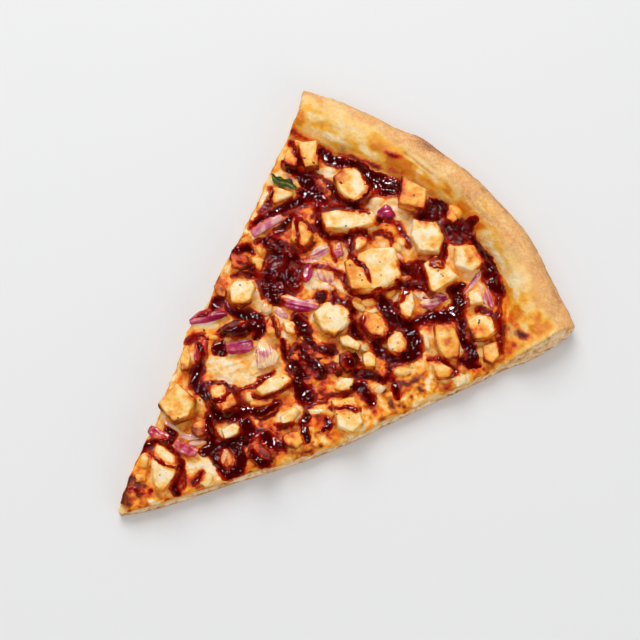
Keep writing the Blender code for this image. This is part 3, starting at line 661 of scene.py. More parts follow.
GLAZE = (
    (0.0, (1.0, 1.0, 1.0, 1.0)), (0.20, (1.0, 0.76, 0.32, 1.0)), (0.40, (1.0, 0.42, 0.05, 1.0)),
    (0.60, (0.78, 0.15, 0.010, 1.0)), (0.80, (0.42, 0.036, 0.005, 1.0)), (1.0, (0.18, 0.008, 0.003, 1.0)),
)


def stained(tree, colour):
    """Filter a colour through the sauce on it: golden oil, then red-brown glaze, then dark sauce."""
    stain = uneven(tree, named_value(tree, "stain"), 520.0, 6.0, 0.74, 0.85)
    stain = uneven(tree, stain, 1300.0, 3.0, 0.55, 0.45)
    node = tree.nodes.new("ShaderNodeMix")
    node.data_type = "RGBA"
    node.blend_type = "MULTIPLY"
    node.inputs[0].default_value = 1.0
    tree.links.new(colour, node.inputs[6])
    tree.links.new(ramp(tree, stain, GLAZE), node.inputs[7])
    return node.outputs[2]


print("material helpers ready")

# %% [markdown]
# ## Chicken
#
# The chicken is breast meat, diced by hand and roasted: cream inside, golden to orange where the
# heat or the sauce took it, with fine fibres that run one way through each cube. Each cube gets a
# base tone, the side on which it is browner (partly roasting, partly painted shade on the side away
# from the light), how much browner, and how much sauce coats it, all read off the photograph.

# %% Chicken: how each cube looks
# tone: 0 cream, 0.5 golden, 1 tan. side: where in the picture it is browner, partly from roasting and partly
# painted shade on the side away from the light. more: how much. coat: sauce
CUBES = {
    1: (0.42, 280, 0.35, 0.00), 2: (0.55, 200, 0.30, 0.18), 3: (0.25, 200, 0.30, 0.10),
    4: (0.22, 160, 0.42, 0.00), 5: (0.60, 200, 0.10, 0.00), 6: (0.60, 0, 0.20, 0.00),
    7: (0.12, 230, 0.30, 0.00), 8: (0.32, 0, 0.20, 0.05), 9: (0.00, 320, 0.40, 0.00),
    10: (0.15, 0, 0.35, 0.00), 11: (0.26, 190, 0.22, 0.00), 12: (0.20, 260, 0.30, 0.00),
    13: (0.05, 30, 0.40, 0.00), 14: (0.10, 0, 0.10, 0.00), 15: (0.10, 190, 0.25, 0.00),
    16: (0.40, 150, 0.34, 0.12), 17: (0.14, 300, 0.10, 0.00), 18: (0.56, 40, 0.12, 0.00),
    19: (0.28, 240, 0.40, 0.05), 20: (0.38, 190, 0.42, 0.16), 21: (0.28, 300, 0.30, 0.05),
    22: (0.50, 290, 0.25, 0.00), 23: (0.25, 300, 0.20, 0.00), 24: (0.80, 0, 0.10, 0.85),
    25: (0.18, 0, 0.20, 0.00), 26: (0.30, 80, 0.30, 0.00), 27: (0.06, 230, 0.40, 0.00),
    28: (0.20, 0, 0.10, 0.00), 29: (0.42, 90, 0.30, 0.10), 30: (0.05, 280, 0.50, 0.00),
    31: (0.58, 200, 0.20, 0.10), 32: (0.80, 0, 0.20, 0.45), 33: (0.85, 0, 0.10, 0.75),
    34: (0.35, 220, 0.30, 0.05), 35: (0.47, 200, 0.10, 0.00), 36: (0.70, 260, 0.30, 0.10),
    37: (0.20, 300, 0.45, 0.05), 38: (0.18, 100, 0.20, 0.00), 39: (0.00, 0, 0.10, 0.00),
    40: (0.20, 300, 0.20, 0.00), 41: (0.55, 180, 0.30, 0.15), 42: (0.55, 0, 0.20, 0.60),
    43: (0.14, 160, 0.25, 0.00),
}
CUBE_VOXEL = 0.55                   # mm, the even net's step
FIBRE_LONG = 7.0                    # fibres are this much longer than wide
print(len(CUBES), "cubes of chicken")

# %% Chicken: the meat's material
meat, tree, shader = material("chicken", 0.42, Subsurface_Weight=0.12, Subsurface_Scale=0.002,
                              Specular_IOR_Level=0.5)
shader.inputs["Subsurface Radius"].default_value = (1.0, 0.55, 0.3)
golden = uneven(tree, named_value(tree, "golden"), 420.0, 6.0, 0.7, 0.55)
colour = ramp(tree, golden, (
    (0.0, srgb(255, 232, 192)), (0.26, srgb(255, 216, 144)), (0.46, srgb(255, 194, 84)),
    (0.62, srgb(248, 160, 46)), (0.80, srgb(218, 108, 18)), (1.0, srgb(144, 50, 6))))
char = ramp(tree, named_value(tree, "char"), ((0.35, (0, 0, 0, 1)), (0.8, (1, 1, 1, 1))))
colour = mixed(tree, char, colour, srgb(62, 26, 10))
tree.links.new(stained(tree, colour), shader.inputs["Base Color"])
bump(tree, shader, noise(tree, 900.0, 4.0, 0.6), 0.5, 0.0008)
print("material:", meat.name)

# %% Chicken: charred and browner spots
# pixel, pixel, length and width in pixels, turn in degrees and strength, as in every table of spots
CHAR_SPOTS = (
    (304, 158, 5, 2, -20, 1.0), (313, 162, 6, 2, -30, 1.0), (341, 183, 3, 4, 60, 0.9),
    (400, 181, 4, 3, 0, 0.9), (411, 196, 8, 3, 30, 0.5), (296, 228, 2, 3, 0, 0.3), (240, 285, 2, 2, 0, 0.7),
    (442, 334, 5, 2, 20, 0.7), (479, 322, 3, 7, -15, 0.8), (386, 324, 4, 5, 0, 0.9), (357, 163, 4, 2, 0, 0.8),
    (176, 367, 8, 5, 40, 0.5),
)
# BROWNER spots are browned meat; the broad faint one on the left half of a cube is painted shade on its side
# away from the light
BROWNER = (
    (470, 254, 12, 24, -10, 0.5), (362, 272, 48, 50, 15, 0.08), (341, 176, 16, 16, 0, 0.25),
    (366, 186, 6, 20, 10, 0.4), (336, 334, 26, 12, -10, 0.35), (247, 303, 16, 10, 0, 0.4),
    (226, 296, 10, 18, 20, 0.3), (450, 345, 18, 18, 0, 0.15), (474, 330, 8, 22, 0, 0.3),
    (436, 243, 16, 14, 0, 0.35), (320, 398, 10, 10, 0, 0.2), (230, 402, 12, 14, 0, 0.45),
)
print(len(CHAR_SPOTS), "charred spots and", len(BROWNER), "browner ones")


# %% Chicken: the cubes
def cube_values(points, normals, number, low, high):
    """Golden, char and stain on one cube, with painted shade in the golden value on its sides and on one
    side.
    """
    tone, side, more, coat = CUBES[number]
    middle, half = (low + high) / 2.0, (high - low)[:2].max() / 2.0
    # one side is browner: partly roasting, partly painted shade on the side away from the light
    lean = (points - middle) @ np.array(picture_side(side)) / half
    out = np.hypot(points[:, 0] - middle[0], points[:, 1] - middle[1]) / half
    wall = 1.0 - ease(0.25, 0.85, normals[:, 2])
    # the sides (wall) are more golden: partly seared meat, partly painted shade on the sides
    golden = tone - 0.05 + more * np.clip(lean, -0.4, 1.0) + 0.24 * wall + 0.22 * ease(0.75, 1.05, out)
    golden += 0.32 * rough(points, 4.0, number) + patches(BROWNER, points)
    char = patches(CHAR_SPOTS, points, 0.5)
    char += 0.30 * ease(0.55, 0.9, lumps(points, 2.2, 40 + number)) * wall
    # foot: the stain value is raised towards the foot of the cube, darker towards the bottom
    foot = ease(4.5, 0.5, points[:, 2] - low[2] - 1.5) * (0.4 + 0.6 * wall)
    foot *= 0.65 + 0.6 * lumps(points, 3.0, 90 + number)
    stain = coat + 0.60 * sauce_near(points) * (0.75 + 0.5 * wall) + 0.17 * foot
    stain += 0.20 * rough(points, 3.0, 70 + number)
    return {"golden": golden, "char": char, "stain": stain}


def roughen_cube(bm, number):
    """Round the cube, then press fibres, lumps and torn edges into it."""
    soften(bm, 2)
    points, normals = places(bm), facings(bm)
    turn = random.Random(number).uniform(0.0, math.pi)
    along = points[:, :1] * math.cos(turn) + points[:, 1:2] * math.sin(turn)
    across = points[:, 1:2] * math.cos(turn) - points[:, :1] * math.sin(turn)
    grain = np.hstack((along / FIBRE_LONG, across, points[:, 2:]))
    push = 0.30 * rough(points, 6.5, 100 + number) - 0.22 * np.abs(lumps(grain, 1.4, number))
    push += 0.10 * lumps(points, 1.5, 200 + number)
    push -= 0.30 * ease(0.45, 0.8, lumps(points, 2.6, 300 + number))
    low = points[:, 2].min()
    push *= ease(0.2, 1.6, points[:, 2] - low)
    points = points + normals * push[:, None]
    points[:, 2] = np.maximum(points[:, 2], low)
    move_to(bm, points)
    return points


food_points, food_faces = [], []


def remember(bm):
    """Keep a net's shape, without its one large face below, for laying the sauce on it later."""
    start = sum(len(points) for points in food_points)
    food_points.append(places(bm))
    small = [face for face in bm.faces if len(face.verts) <= 4]
    food_faces.extend([vert.index + start for vert in face.verts] for face in small)


chicken_names = sorted(name for name in nodes if name.startswith("chicken"))
count = 0
for name, bm in even_nets(chicken_names, CUBE_VOXEL).items():
    number = int(name[-2:])
    points = roughen_cube(bm, number)
    remember(bm)
    count += len(bm.faces)
    values = cube_values(points, facings(bm), number, points.min(0), points.max(0))
    piece(name.replace("chicken", "chicken_cube"), bm, meat, values, (name,))
print(len(chicken_names), "cubes with", count, "faces")

# %% [markdown]
# ## Red onion
#
# A petal of red onion is a slice through the bulb's layers: pale flesh, a purple skin on one
# edge, and fine lines along it where layers meet. Roasting makes it glassy. The line of the
# petal is found from its own solid, as the direction in which its points spread most.

# %% Red onion: how each petal looks
# skin on the upper and the lower edge in the picture, lines across, and how dark sauce coats it
PETALS = {
    1: (0.28, 0.40, 0, -0.1), 2: (0.84, 0.94, 1, -0.15), 3: (0.95, 0.85, 1, 0.1), 4: (0.05, 0.40, 2, 0.0),
    5: (0.15, 1.0, 4, 0.0), 6: (0.10, 0.25, 3, 0.2), 7: (0.95, 0.80, 2, 0.02), 8: (0.65, 0.72, 2, 0.02),
    9: (0.30, 0.34, 6, 0.16), 10: (0.55, 0.60, 2, 0.22), 11: (0.52, 0.66, 1, 0.22), 12: (0.35, 0.45, 2, 0.0),
    13: (0.20, 0.55, 2, 0.10),
}
PINKER = (
    (253, 358, 8, 30, 8, 1.0), (444, 300, 12, 16, 0, 0.8), (215, 316, 20, 8, 12, 0.5),
    (306, 300, 8, 6, 0, 0.3), (196, 350, 5, 22, 8, 0.6), (322, 309, 10, 5, 0, 0.7),
)
PALER = (
    (263, 346, 16, 9, 20, 1.0), (272, 360, 14, 20, -30, 0.9), (210, 324, 34, 5, 12, 0.8),
    (424, 298, 20, 12, 0, 0.8), (291, 297, 16, 7, -20, 0.7), (252, 349, 6, 6, 0, 0.4),
    (203, 354, 5, 20, 0, 0.5), (260, 232, 16, 6, 40, 0.4),
)
PETAL_VOXEL = 0.42
JAGGED = (2, 9, 13)                 # petals with a dented outline
CROSSED = 11                        # the petal with fine lines across it
print(len(PETALS), "petals of onion")

# %% Red onion: the material
onion_skin, tree, shader = material("red_onion", 0.22, Subsurface_Weight=0.15, Subsurface_Scale=0.002,
                                    Coat_Weight=0.4, Coat_Roughness=0.1)
shader.inputs["Subsurface Radius"].default_value = (1.0, 0.5, 0.6)
skin = uneven(tree, named_value(tree, "skin"), 600.0, 3.0, 0.55, 0.25)
colour = ramp(tree, skin, (
    (0.0, srgb(250, 222, 180)), (0.25, srgb(240, 186, 176)), (0.5, srgb(214, 114, 140)),
    (0.75, srgb(188, 44, 92)), (1.0, srgb(158, 12, 66))))
tree.links.new(stained(tree, colour), shader.inputs["Base Color"])
bump(tree, shader, noise(tree, 1400.0, 2.0), 0.15, 0.0004)
print("material:", onion_skin.name)


# %% Red onion: the shape of a petal
def long_way(points):
    """The level direction in which points spread most, and the one across it, down in the picture."""
    flat = points[:, :2] - points[:, :2].mean(0)
    values, ways = np.linalg.eigh(flat.T @ flat)
    along = ways[:, 1]
    across = np.array((-along[1], along[0]))
    if across @ np.array(picture_side(-90))[:2] < 0.0:
        across = -across
    return along, across


def roughen_petal(bm, number):
    """Round a petal and press its lines in: the values of skin and stain on it."""
    upper, lower, lines, coat = PETALS[number]
    soften(bm, 2)
    points, normals = places(bm), facings(bm)
    low = points[:, 2].min()
    along, across = long_way(points)
    offset = points[:, :2] - points[:, :2].mean(0)
    share = offset @ across / np.abs(offset @ across).max()
    length = offset @ along / np.abs(offset @ along).max()
    bent = share - 0.5 * share[np.abs(length) < 0.3].mean() * (1.0 - length ** 2)
    wave = np.sin(math.pi * lines * (bent + 0.15 * lumps(points, 9.0, number)))
    push = 0.24 * wave * ease(0.3, 0.8, normals[:, 2])
    push += 0.28 * lumps(points, 4.5, 20 + number) + 0.10 * lumps(points, 1.6, 60 + number)
    if number in JAGGED:
        around = np.arctan2(offset @ across, offset @ along)
        dent = 0.30 * np.abs(np.sin(1.5 * around + number)) * ease(0.1, 1.0, np.hypot(share, length))
        points[:, :2] -= offset * dent[:, None]
    points = points + normals * push[:, None]
    points[:, 2] = np.maximum(points[:, 2], low)
    move_to(bm, points)
    skin = (upper + lower) / 2.0 + (lower - upper) * 0.5 * np.clip(bent * 1.3, -1, 1) - 0.10 * wave
    skin += 0.20 * rough(points, 4.5, number)
    skin += 0.16 * lumps(points * np.array((1.0, 1.0, 0.2)), 2.0, 30 + number)
    skin += 0.4 * patches(PINKER, points, 0.4, 36) - 0.6 * patches(PALER, points, 0.4, 37)
    if number == CROSSED:
        skin += 0.08 * np.sin(26.0 * length + 2.0 * lumps(points, 2.0, 39))
    # foot: the stain value is raised towards the foot of the petal, darker towards the bottom
    foot = ease(2.2, 0.3, points[:, 2] - points[:, 2].min() - 0.8)
    return {"skin": skin, "stain": coat - 0.1 + 0.34 * sauce_near(points) + 0.24 * foot}


print(len(JAGGED), "petals have dents")

# %% Red onion: the petals
onion_names = sorted(name for name in nodes if name.startswith("onion"))
for name, bm in even_nets(onion_names, PETAL_VOXEL).items():
    values = roughen_petal(bm, int(name[-2:]))
    remember(bm)
    piece(name.replace("onion", "onion_petal"), bm, onion_skin, values, (name,))
print(len(onion_names), "petals")

# %% [markdown]
# ## The leaf
#
# One wilted leaf lies at the left cut. It is thin and wavy, with a paler rib and fine lines
# along it. Its solid has few faces, so they are divided before it gets its lines.

# %% The leaf
green, tree, shader = material("herb", 0.38, Subsurface_Weight=0.1, Subsurface_Scale=0.001)
streak = uneven(tree, named_value(tree, "vein"), 500.0, 4.0, 0.7, 1.1)
colour = ramp(tree, streak, ((0.15, srgb(30, 44, 8)), (0.5, srgb(72, 92, 18)), (0.9, srgb(158, 166, 78))))
tree.links.new(stained(tree, colour), shader.inputs["Base Color"])
LEAF_VOXEL = 0.22
bm = even_nets(["herb_leaf"], LEAF_VOXEL)["herb_leaf"]
soften(bm, 1)
points, normals = places(bm), facings(bm)
along, across = long_way(points)
offset = points[:, :2] - points[:, :2].mean(0)
side, run = offset @ across, offset @ along
groove = np.sin(side * 9.0)         # lines along the leaf
vein = 0.35 + 0.5 * np.exp(-(side / 0.25) ** 2) + 0.25 * groove
points[:, :2] += across * (0.55 * np.sin(0.55 * run) + 0.22 * side * np.sin(1.3 * run + side))[:, None]
points[:, 2] += 0.35 * np.abs(side) + 0.5 * lumps(points * np.array((1.0, 1.0, 0.0)), 2.6, 89)
move_to(bm, points + normals * (0.06 * groove * np.sign(normals[:, 2]))[:, None])
remember(bm)
stain = 0.05 + 0.35 * ease(0.0, 0.8, rough(points, 4.0, 38))
piece("herb", bm, green, {"vein": vein, "stain": stain}, ("herb_leaf",))
print("leaf of", len(points), "points")

# %% [markdown]
# ## The dough
#
# The crust is bread: a rounded rim, glossy gold and amber where fat ran over it, matte tan with
# flour on its outer half, and brown where it stood highest in the oven. The cut faces show pale
# crumb with holes. The underside is flat and toasted. The crumb's large holes are pressed into
# the net, and the small ones are bump.

# %% The dough: colours by place
CRUST_AMBER = (
    (301, 117, 15, 32, -18, 1.2), (297, 104, 8, 22, -20, 1.0), (328, 128, 44, 12, -24, 0.75),
    (348, 143, 34, 12, -24, 0.7), (318, 112, 22, 8, -22, 0.5), (400, 165, 40, 16, -25, 1.0),
    (387, 150, 32, 18, -25, 0.7), (425, 178, 30, 9, -40, 0.7), (447, 188, 24, 9, -42, 0.7),
    (466, 208, 22, 12, -50, 0.8), (478, 226, 18, 16, -50, 1.0), (497, 246, 12, 30, 22, 0.6),
    (510, 292, 16, 24, 10, 0.95), (524, 300, 16, 10, -30, 0.9), (537, 318, 18, 12, -30, 0.9),
    (514, 318, 10, 22, 0, 0.7), (486, 206, 22, 7, -50, 0.5), (546, 328, 14, 24, -20, 0.9),
    (537, 331, 15, 14, 0, 1.1), (519, 311, 9, 24, 30, 0.9), (512, 347, 28, 14, 25, 0.6),
    (530, 342, 34, 6, 25, 0.7), (506, 262, 14, 20, 20, 0.5), (340, 118, 30, 6, -24, 0.35),
    (372, 142, 26, 8, -24, 0.5),
)
CRUST_BROWN = (
    (521, 334, 22, 11, -30, 1.1), (547, 331, 6, 22, 10, 0.5), (504, 350, 14, 12, 0, 0.7),
    (508, 326, 5, 30, 20, 0.6), (393, 155, 21, 13, -12, 1.3), (424, 144, 56, 14, -32, 0.42),
    (302, 136, 24, 7, -26, 0.6), (318, 144, 24, 6, -22, 0.6), (350, 158, 36, 7, -18, 0.6),
    (294, 112, 4, 30, -18, 0.6), (342, 150, 16, 8, -10, 0.7), (474, 222, 10, 8, 0, 0.9),
    (380, 166, 50, 6, -22, 0.6), (425, 190, 34, 5, -40, 0.6), (462, 220, 20, 6, -40, 0.6),
    (365, 106, 60, 4, -24, 0.25),
)
# cream streaks on the rim: pale crust, and along the glossy crest partly a painted highlight
CRUST_CREAM_AND_HIGHLIGHT = (
    (334, 139, 44, 6, -24, 1.0), (366, 150, 26, 7, -24, 0.9), (420, 172, 22, 5, -35, 0.8),
    (438, 182, 24, 7, -40, 0.8), (500, 262, 9, 44, 22, 1.0), (514, 284, 9, 26, 20, 0.8),
    (340, 104, 66, 9, -24, 0.6), (456, 196, 22, 8, -46, 0.8), (310, 100, 18, 12, -20, 0.6),
    (486, 232, 12, 14, -60, 0.6), (530, 306, 10, 14, -30, 0.5),
)
print(len(CRUST_AMBER), "amber,", len(CRUST_BROWN), "brown and", len(CRUST_CREAM_AND_HIGHLIGHT), "cream patches")

# %% The dough: its material
BLACK, WHITE = (0, 0, 0, 1), (1, 1, 1, 1)
crust_paint, tree, shader = material("crust", 0.55, Subsurface_Weight=0.08, Subsurface_Scale=0.002)
bake = named_value(tree, "bake")
colour = ramp(tree, uneven(tree, bake, 260.0, 5.0, 0.62, 0.26), (
    (0.0, srgb(253, 230, 180)), (0.30, srgb(248, 204, 130)), (0.54, srgb(236, 170, 88)),
    (0.80, srgb(186, 108, 44)), (1.0, srgb(96, 40, 14))))
amber = uneven(tree, named_value(tree, "amber"), 260.0, 5.0, 0.65, 0.34)
fat = ramp(tree, amber, ((0.2, srgb(255, 206, 92)), (0.6, srgb(250, 178, 34)), (1.0, srgb(230, 132, 6))))
colour = mixed(tree, ramp(tree, amber, ((0.0, BLACK), (0.65, WHITE))), colour, fat)
floury = named_value(tree, "flour")
grit = ramp(tree, noise(tree, 1500.0, 4.0, 0.7), ((0.42, BLACK), (0.66, WHITE)))
dust = sums(tree, "MULTIPLY", floury, grit)
colour = mixed(tree, sums(tree, "MULTIPLY", dust, 0.5), colour, srgb(253, 226, 190))
speck = ramp(tree, noise(tree, 1500.0, 3.0, 0.6), ((0.60, BLACK), (0.72, WHITE)))
wrinkle = sums(tree, "ABSOLUTE", sums(tree, "SUBTRACT", noise(tree, 330.0, 5.0, 0.7), 0.5), 0.0)
wrinkle = ramp(tree, wrinkle, ((0.0, WHITE), (0.035, BLACK)))
speck = sums(tree, "MAXIMUM", speck, sums(tree, "MULTIPLY", wrinkle, 0.8))
speck = sums(tree, "MULTIPLY", sums(tree, "MULTIPLY", speck, floury), 0.60)
colour = mixed(tree, speck, colour, srgb(198, 122, 72))
crumb_tone = sums(tree, "ADD", bake, sums(tree, "MULTIPLY", noise(tree, 620.0, 5.0, 0.7), 0.9))
inside = ramp(tree, crumb_tone, (
    (0.30, srgb(255, 232, 198)), (0.50, srgb(248, 212, 164)), (0.68, srgb(226, 172, 112)),
    (1.0, srgb(150, 92, 44))))
colour = mixed(tree, named_value(tree, "cut"), colour, inside)
tree.links.new(stained(tree, colour), shader.inputs["Base Color"])
shine = sums(tree, "SUBTRACT", 0.72, sums(tree, "MULTIPLY", named_value(tree, "amber"), 0.42))
tree.links.new(shine, shader.inputs["Roughness"])
bump(tree, shader, noise(tree, 620.0, 4.0, 0.65), 0.6, 0.0009)
print("material:", crust_paint.name)

# %% The dough: the net
CREASES = (
    (418, 164, 42, 2.2, -38, 1.0), (424, 161, 36, 1.6, -38, 0.7), (553, 316, 3, 9, 20, 1.0),
    (333, 97, 60, 1.6, -22, 0.4), (482, 205, 30, 1.6, -52, 0.6), (530, 262, 2, 60, 28, 0.4),
)
BLISTERS = ((392, 154, 16, 10, -10, 1.0), (474, 222, 12, 10, 0, 0.7))
DOUGH_VOXEL = 0.75
BASE_TALL = 5.5                     # the dough's thickness under the cheese
bm = even_nets(["dough"], DOUGH_VOXEL)["dough"]
soften(bm, 1)
points, normals = places(bm), facings(bm)
from_tip = points[:, :2] - TIP
radius = np.hypot(from_tip[:, 0], from_tip[:, 1])
outward = from_tip / np.maximum(radius, 1.0)[:, None]
sideways = np.abs(normals[:, 0] * outward[:, 1] - normals[:, 1] * outward[:, 0])
cut = ease(0.55, 0.85, sideways)
above = ease(0.4, 1.4, points[:, 2])
flat_cells = np.array((1.0, 1.0, 1.9))
in_rim = ease(195.0, 206.0, radius)
holes = ease(0.10, 0.60, lumps(points * flat_cells, 3.4, 5)) * (0.6 + 1.0 * in_rim)
holes += 0.7 * ease(0.05, 0.5, lumps(points * flat_cells, 1.8, 6)) + 0.25 * lumps(points, 5.0, 18)
push = -cut * above * holes
skin_zone = (1.0 - cut) * ease(0.3, 0.9, points[:, 2] - BASE_TALL - 0.5)
push += skin_zone * (0.50 * rough(points, 9.0, 7) + 0.16 * lumps(points, 2.4, 8))
back = (1.0 - cut) * above * ease(0.3, 0.9, normals[:, :2] @ np.array((0.0, 1.0)))
push += back * 0.15 * lumps(points, 2.0, 9)
push -= 0.8 * patches(CREASES, points, 0.1) * skin_zone
push += 0.8 * patches(BLISTERS, points, 0.2) * skin_zone
points = points + normals * push[:, None]
points[:, 2] = np.maximum(points[:, 2], 0.0)
points[places(bm)[:, 2] < 0.3, 2] = 0.0
move_to(bm, points)
print(len(points), "points in the dough")

# %% The dough: browning
outer = ease(212.0, 229.0, radius + 1.5 * lumps(points, 12.0, 12))
tan_zone = ease(0.35, 0.6, ease(205.0, 232.0, radius + 2.5 * lumps(points, 14.0, 12)))
under = ease(0.9, 0.2, points[:, 2]) * (1.0 - cut) + ease(-0.3, -0.8, facings(bm)[:, 2])
browned = patches(CRUST_BROWN, points, 0.6, 21, (1.5, 0.2))
golden_top = 0.27 + 0.17 * tan_zone + 0.07 * outer + 0.22 * rough(points, 9.0, 13) * (1.0 - 0.6 * tan_zone)
# the cream patches lighten the rim, partly as a painted highlight
golden_top += 0.09 * rough(points, 3.0, 14) + 0.66 * browned - 0.30 * patches(CRUST_CREAM_AND_HIGHLIGHT, points, 0.4, 22)
crumb = 0.04 + 0.16 * holes + 0.16 * rough(points, 2.5, 15) + 0.6 * ease(1.5, 0.3, points[:, 2])
crumb += 0.14 * ease(BASE_TALL - 1.6, BASE_TALL, points[:, 2]) * (1.0 - in_rim)
bottom = 0.62 + 0.35 * rough(points, 7.0, 16) + 0.25 * ease(0.4, 0.8, lumps(points, 3.0, 17))
bake_value = golden_top * (1.0 - cut) + crumb * cut
bake_value = np.where(under > 0.5, bottom, bake_value)
bake_value += back * 0.10
amber_value = patches(CRUST_AMBER, points, 0.7, 23, (1.8, 0.0)) * (1.0 + 0.3 * rough(points, 6.0, 24))
turned = np.arctan2(from_tip[:, 0], from_tip[:, 1])
streaky = np.column_stack((radius, turned * 60.0, points[:, 2]))
amber_value += 0.40 * ease(-0.5, 0.9, rough(streaky, 6.0, 25)) * (1.0 - tan_zone)
amber_value -= 0.6 * patches(CRUST_CREAM_AND_HIGHLIGHT, points, 0.5, 22, (1.6, 0.1))
amber_value = np.clip(amber_value, 0.0, 1.2) * (1.0 - cut) * skin_zone
flour_value = np.clip(tan_zone * (1.0 - cut) + 0.5 * under, 0.0, 1.0)
u, v = pixels(points)
u += 1.6 * rough(points, 3.0, 26)
v += 1.6 * rough(points, 3.0, 27)
lines = (0.62 + 0.4 * rough(points, 4.0, 28)) * look_up(crust_map, u, v)
values = {"bake": bake_value, "amber": amber_value, "flour": flour_value, "cut": cut * above,
          "stain": (0.30 * sauce_near(points) + lines) * skin_zone}
remember(bm)
piece("crust", bm, crust_paint, values, ("dough",))
print("crust baked from", round(float(bake_value.min()), 2), "to", round(float(bake_value.max()), 2))

# %% [markdown]
# ## Small bits
#
# Between the cubes lie scraps of chicken and onion that are baked onto the cheese. Each is a
# small ball that is squared, flattened and made lumpy. All the scraps of one kind are one mesh.

# %% Small bits: scraps
# x, y from the point of the slice, length, width, turn, height, and a tone; onion scraps have a skin value
SCRAPS = (
    (46.0, 137.5, 9.0, 4.6, 45, 3.0, 0.15), (-4.0, 183.0, 6.0, 5.2, 170, 3.2, 0.35),
    (3.5, 179.0, 5.0, 4.6, 130, 3.0, 0.4), (-40.5, 133.0, 4.6, 4.2, 75, 3.2, 0.6),
    (-36.5, 127.0, 5.6, 3.6, 150, 3.2, 0.45), (9.5, 145.0, 9.5, 3.6, 15, 2.8, 0.2),
    (-7.5, 25.5, 5.6, 3.8, 130, 3.0, 0.35), (5.0, 79.5, 4.6, 3.6, 145, 2.6, 0.2),
    (15.5, 80.5, 9.0, 4.0, 70, 2.6, 0.35), (7.0, 107.5, 4.6, 3.6, 70, 2.8, 0.3),
    (66.0, 158.0, 5.0, 4.4, 45, 2.8, 0.6), (-29.0, 86.0, 4.0, 3.0, 65, 2.2, 0.5),
    (19.0, 103.0, 5.0, 3.0, 60, 2.4, 0.7), (14.0, 116.5, 5.0, 3.2, 50, 2.4, 0.5),
    (21.0, 112.0, 4.0, 3.4, 150, 2.4, 0.55), (40.5, 129.5, 4.6, 3.4, 140, 2.8, 0.55),
    (-42.0, 152.0, 5.6, 4.6, 120, 3.4, 0.65),
)
ONION_SCRAPS = (
    (-19.5, 115.5, 7.5, 5.0, 125, 3.0, 0.05), (-14.5, 158.0, 5.0, 4.4, 340, 2.4, 0.5),
    (3.5, 48.0, 8.5, 2.6, 50, 2.2, 0.15), (56.5, 169.5, 4.6, 3.2, 165, 2.2, 0.4),
    (45.5, 178.0, 4.4, 3.4, 65, 2.0, 0.4), (32.0, 96.5, 10.0, 3.2, 45, 2.2, 0.02),
    (45.0, 124.5, 7.0, 4.0, 80, 2.4, 0.1), (16.0, 52.0, 8.0, 4.0, 110, 2.4, 0.15),
)
print(len(SCRAPS), "scraps of chicken and", len(ONION_SCRAPS), "of onion")

# %% Small bits: crumbs
# more small bits where the photograph shows them: u, v, length and width in pixels, turn, height, tone
CRUMBS = (
    (368, 303, 14, 9, 20, 3.0, 0.45), (356, 299, 12, 6, -30, 2.6, 0.35), (391, 294, 12, 8, 40, 3.2, 0.42),
    (453, 358, 14, 8, -20, 2.8, 0.4), (455, 212, 16, 11, -50, 3.6, 0.55), (247, 241, 11, 9, 30, 2.6, 0.55),
    (240, 264, 9, 12, 60, 2.6, 0.5), (257, 262, 8, 13, 80, 3.2, 0.42), (260, 249, 9, 9, 20, 3.2, 0.45),
    (226, 330, 10, 5, 10, 2.2, 0.35), (213, 338, 12, 5, -5, 2.4, 0.45), (289, 326, 14, 8, -40, 3.0, 0.15),
    (297, 352, 9, 5, 0, 2.6, 0.55), (313, 353, 13, 5, -10, 2.6, 0.6), (306, 362, 7, 5, 0, 2.4, 0.5),
    (322, 364, 5, 9, 0, 2.6, 0.35), (371, 313, 14, 6, 20, 2.8, 0.15), (354, 304, 15, 5, -20, 2.5, 0.4),
    (361, 348, 15, 7, -20, 3.0, 0.2), (371, 353, 10, 6, -30, 2.6, 0.4), (384, 372, 6, 12, 0, 2.8, 0.45),
    (374, 386, 14, 8, 25, 2.6, 0.0), (399, 366, 22, 7, 5, 2.8, 0.15), (438, 366, 20, 5, -25, 2.6, 0.35),
    (426, 341, 6, 18, 10, 2.8, 0.05), (480, 352, 10, 14, 0, 2.4, 0.35), (460, 381, 14, 8, 35, 2.4, 0.12),
    (184, 366, 10, 14, 20, 2.8, 0.5), (289, 414, 20, 7, 30, 3.0, 0.2), (262, 403, 24, 7, 10, 2.8, 0.45),
    (207, 480, 10, 14, -20, 2.8, 0.25), (254, 444, 12, 9, 0, 2.4, 0.7), (268, 453, 13, 8, 20, 2.4, 0.65),
    (141, 478, 11, 9, 0, 2.4, 0.6), (388, 232, 9, 6, 20, 2.8, 0.4), (401, 243, 10, 8, -30, 2.8, 0.3),
    (364, 270, 8, 5, 0, 1.6, 0.5), (336, 372, 10, 6, 30, 2.6, 0.4), (344, 381, 12, 6, -20, 2.8, 0.15),
    (325, 333, 8, 5, 20, 2.4, 0.45), (408, 296, 10, 7, 40, 2.8, 0.2), (500, 345, 8, 10, 0, 2.0, 0.5),
    (236, 290, 6, 10, 0, 2.4, 0.5), (281, 268, 8, 6, 30, 2.6, 0.75), (272, 250, 9, 6, -20, 2.6, 0.8),
    (288, 284, 8, 5, 0, 2.6, 0.75), (302, 384, 8, 6, 0, 2.8, 0.7), (296, 372, 7, 5, 40, 2.8, 0.65),
)
print(len(CRUMBS), "crumbs")

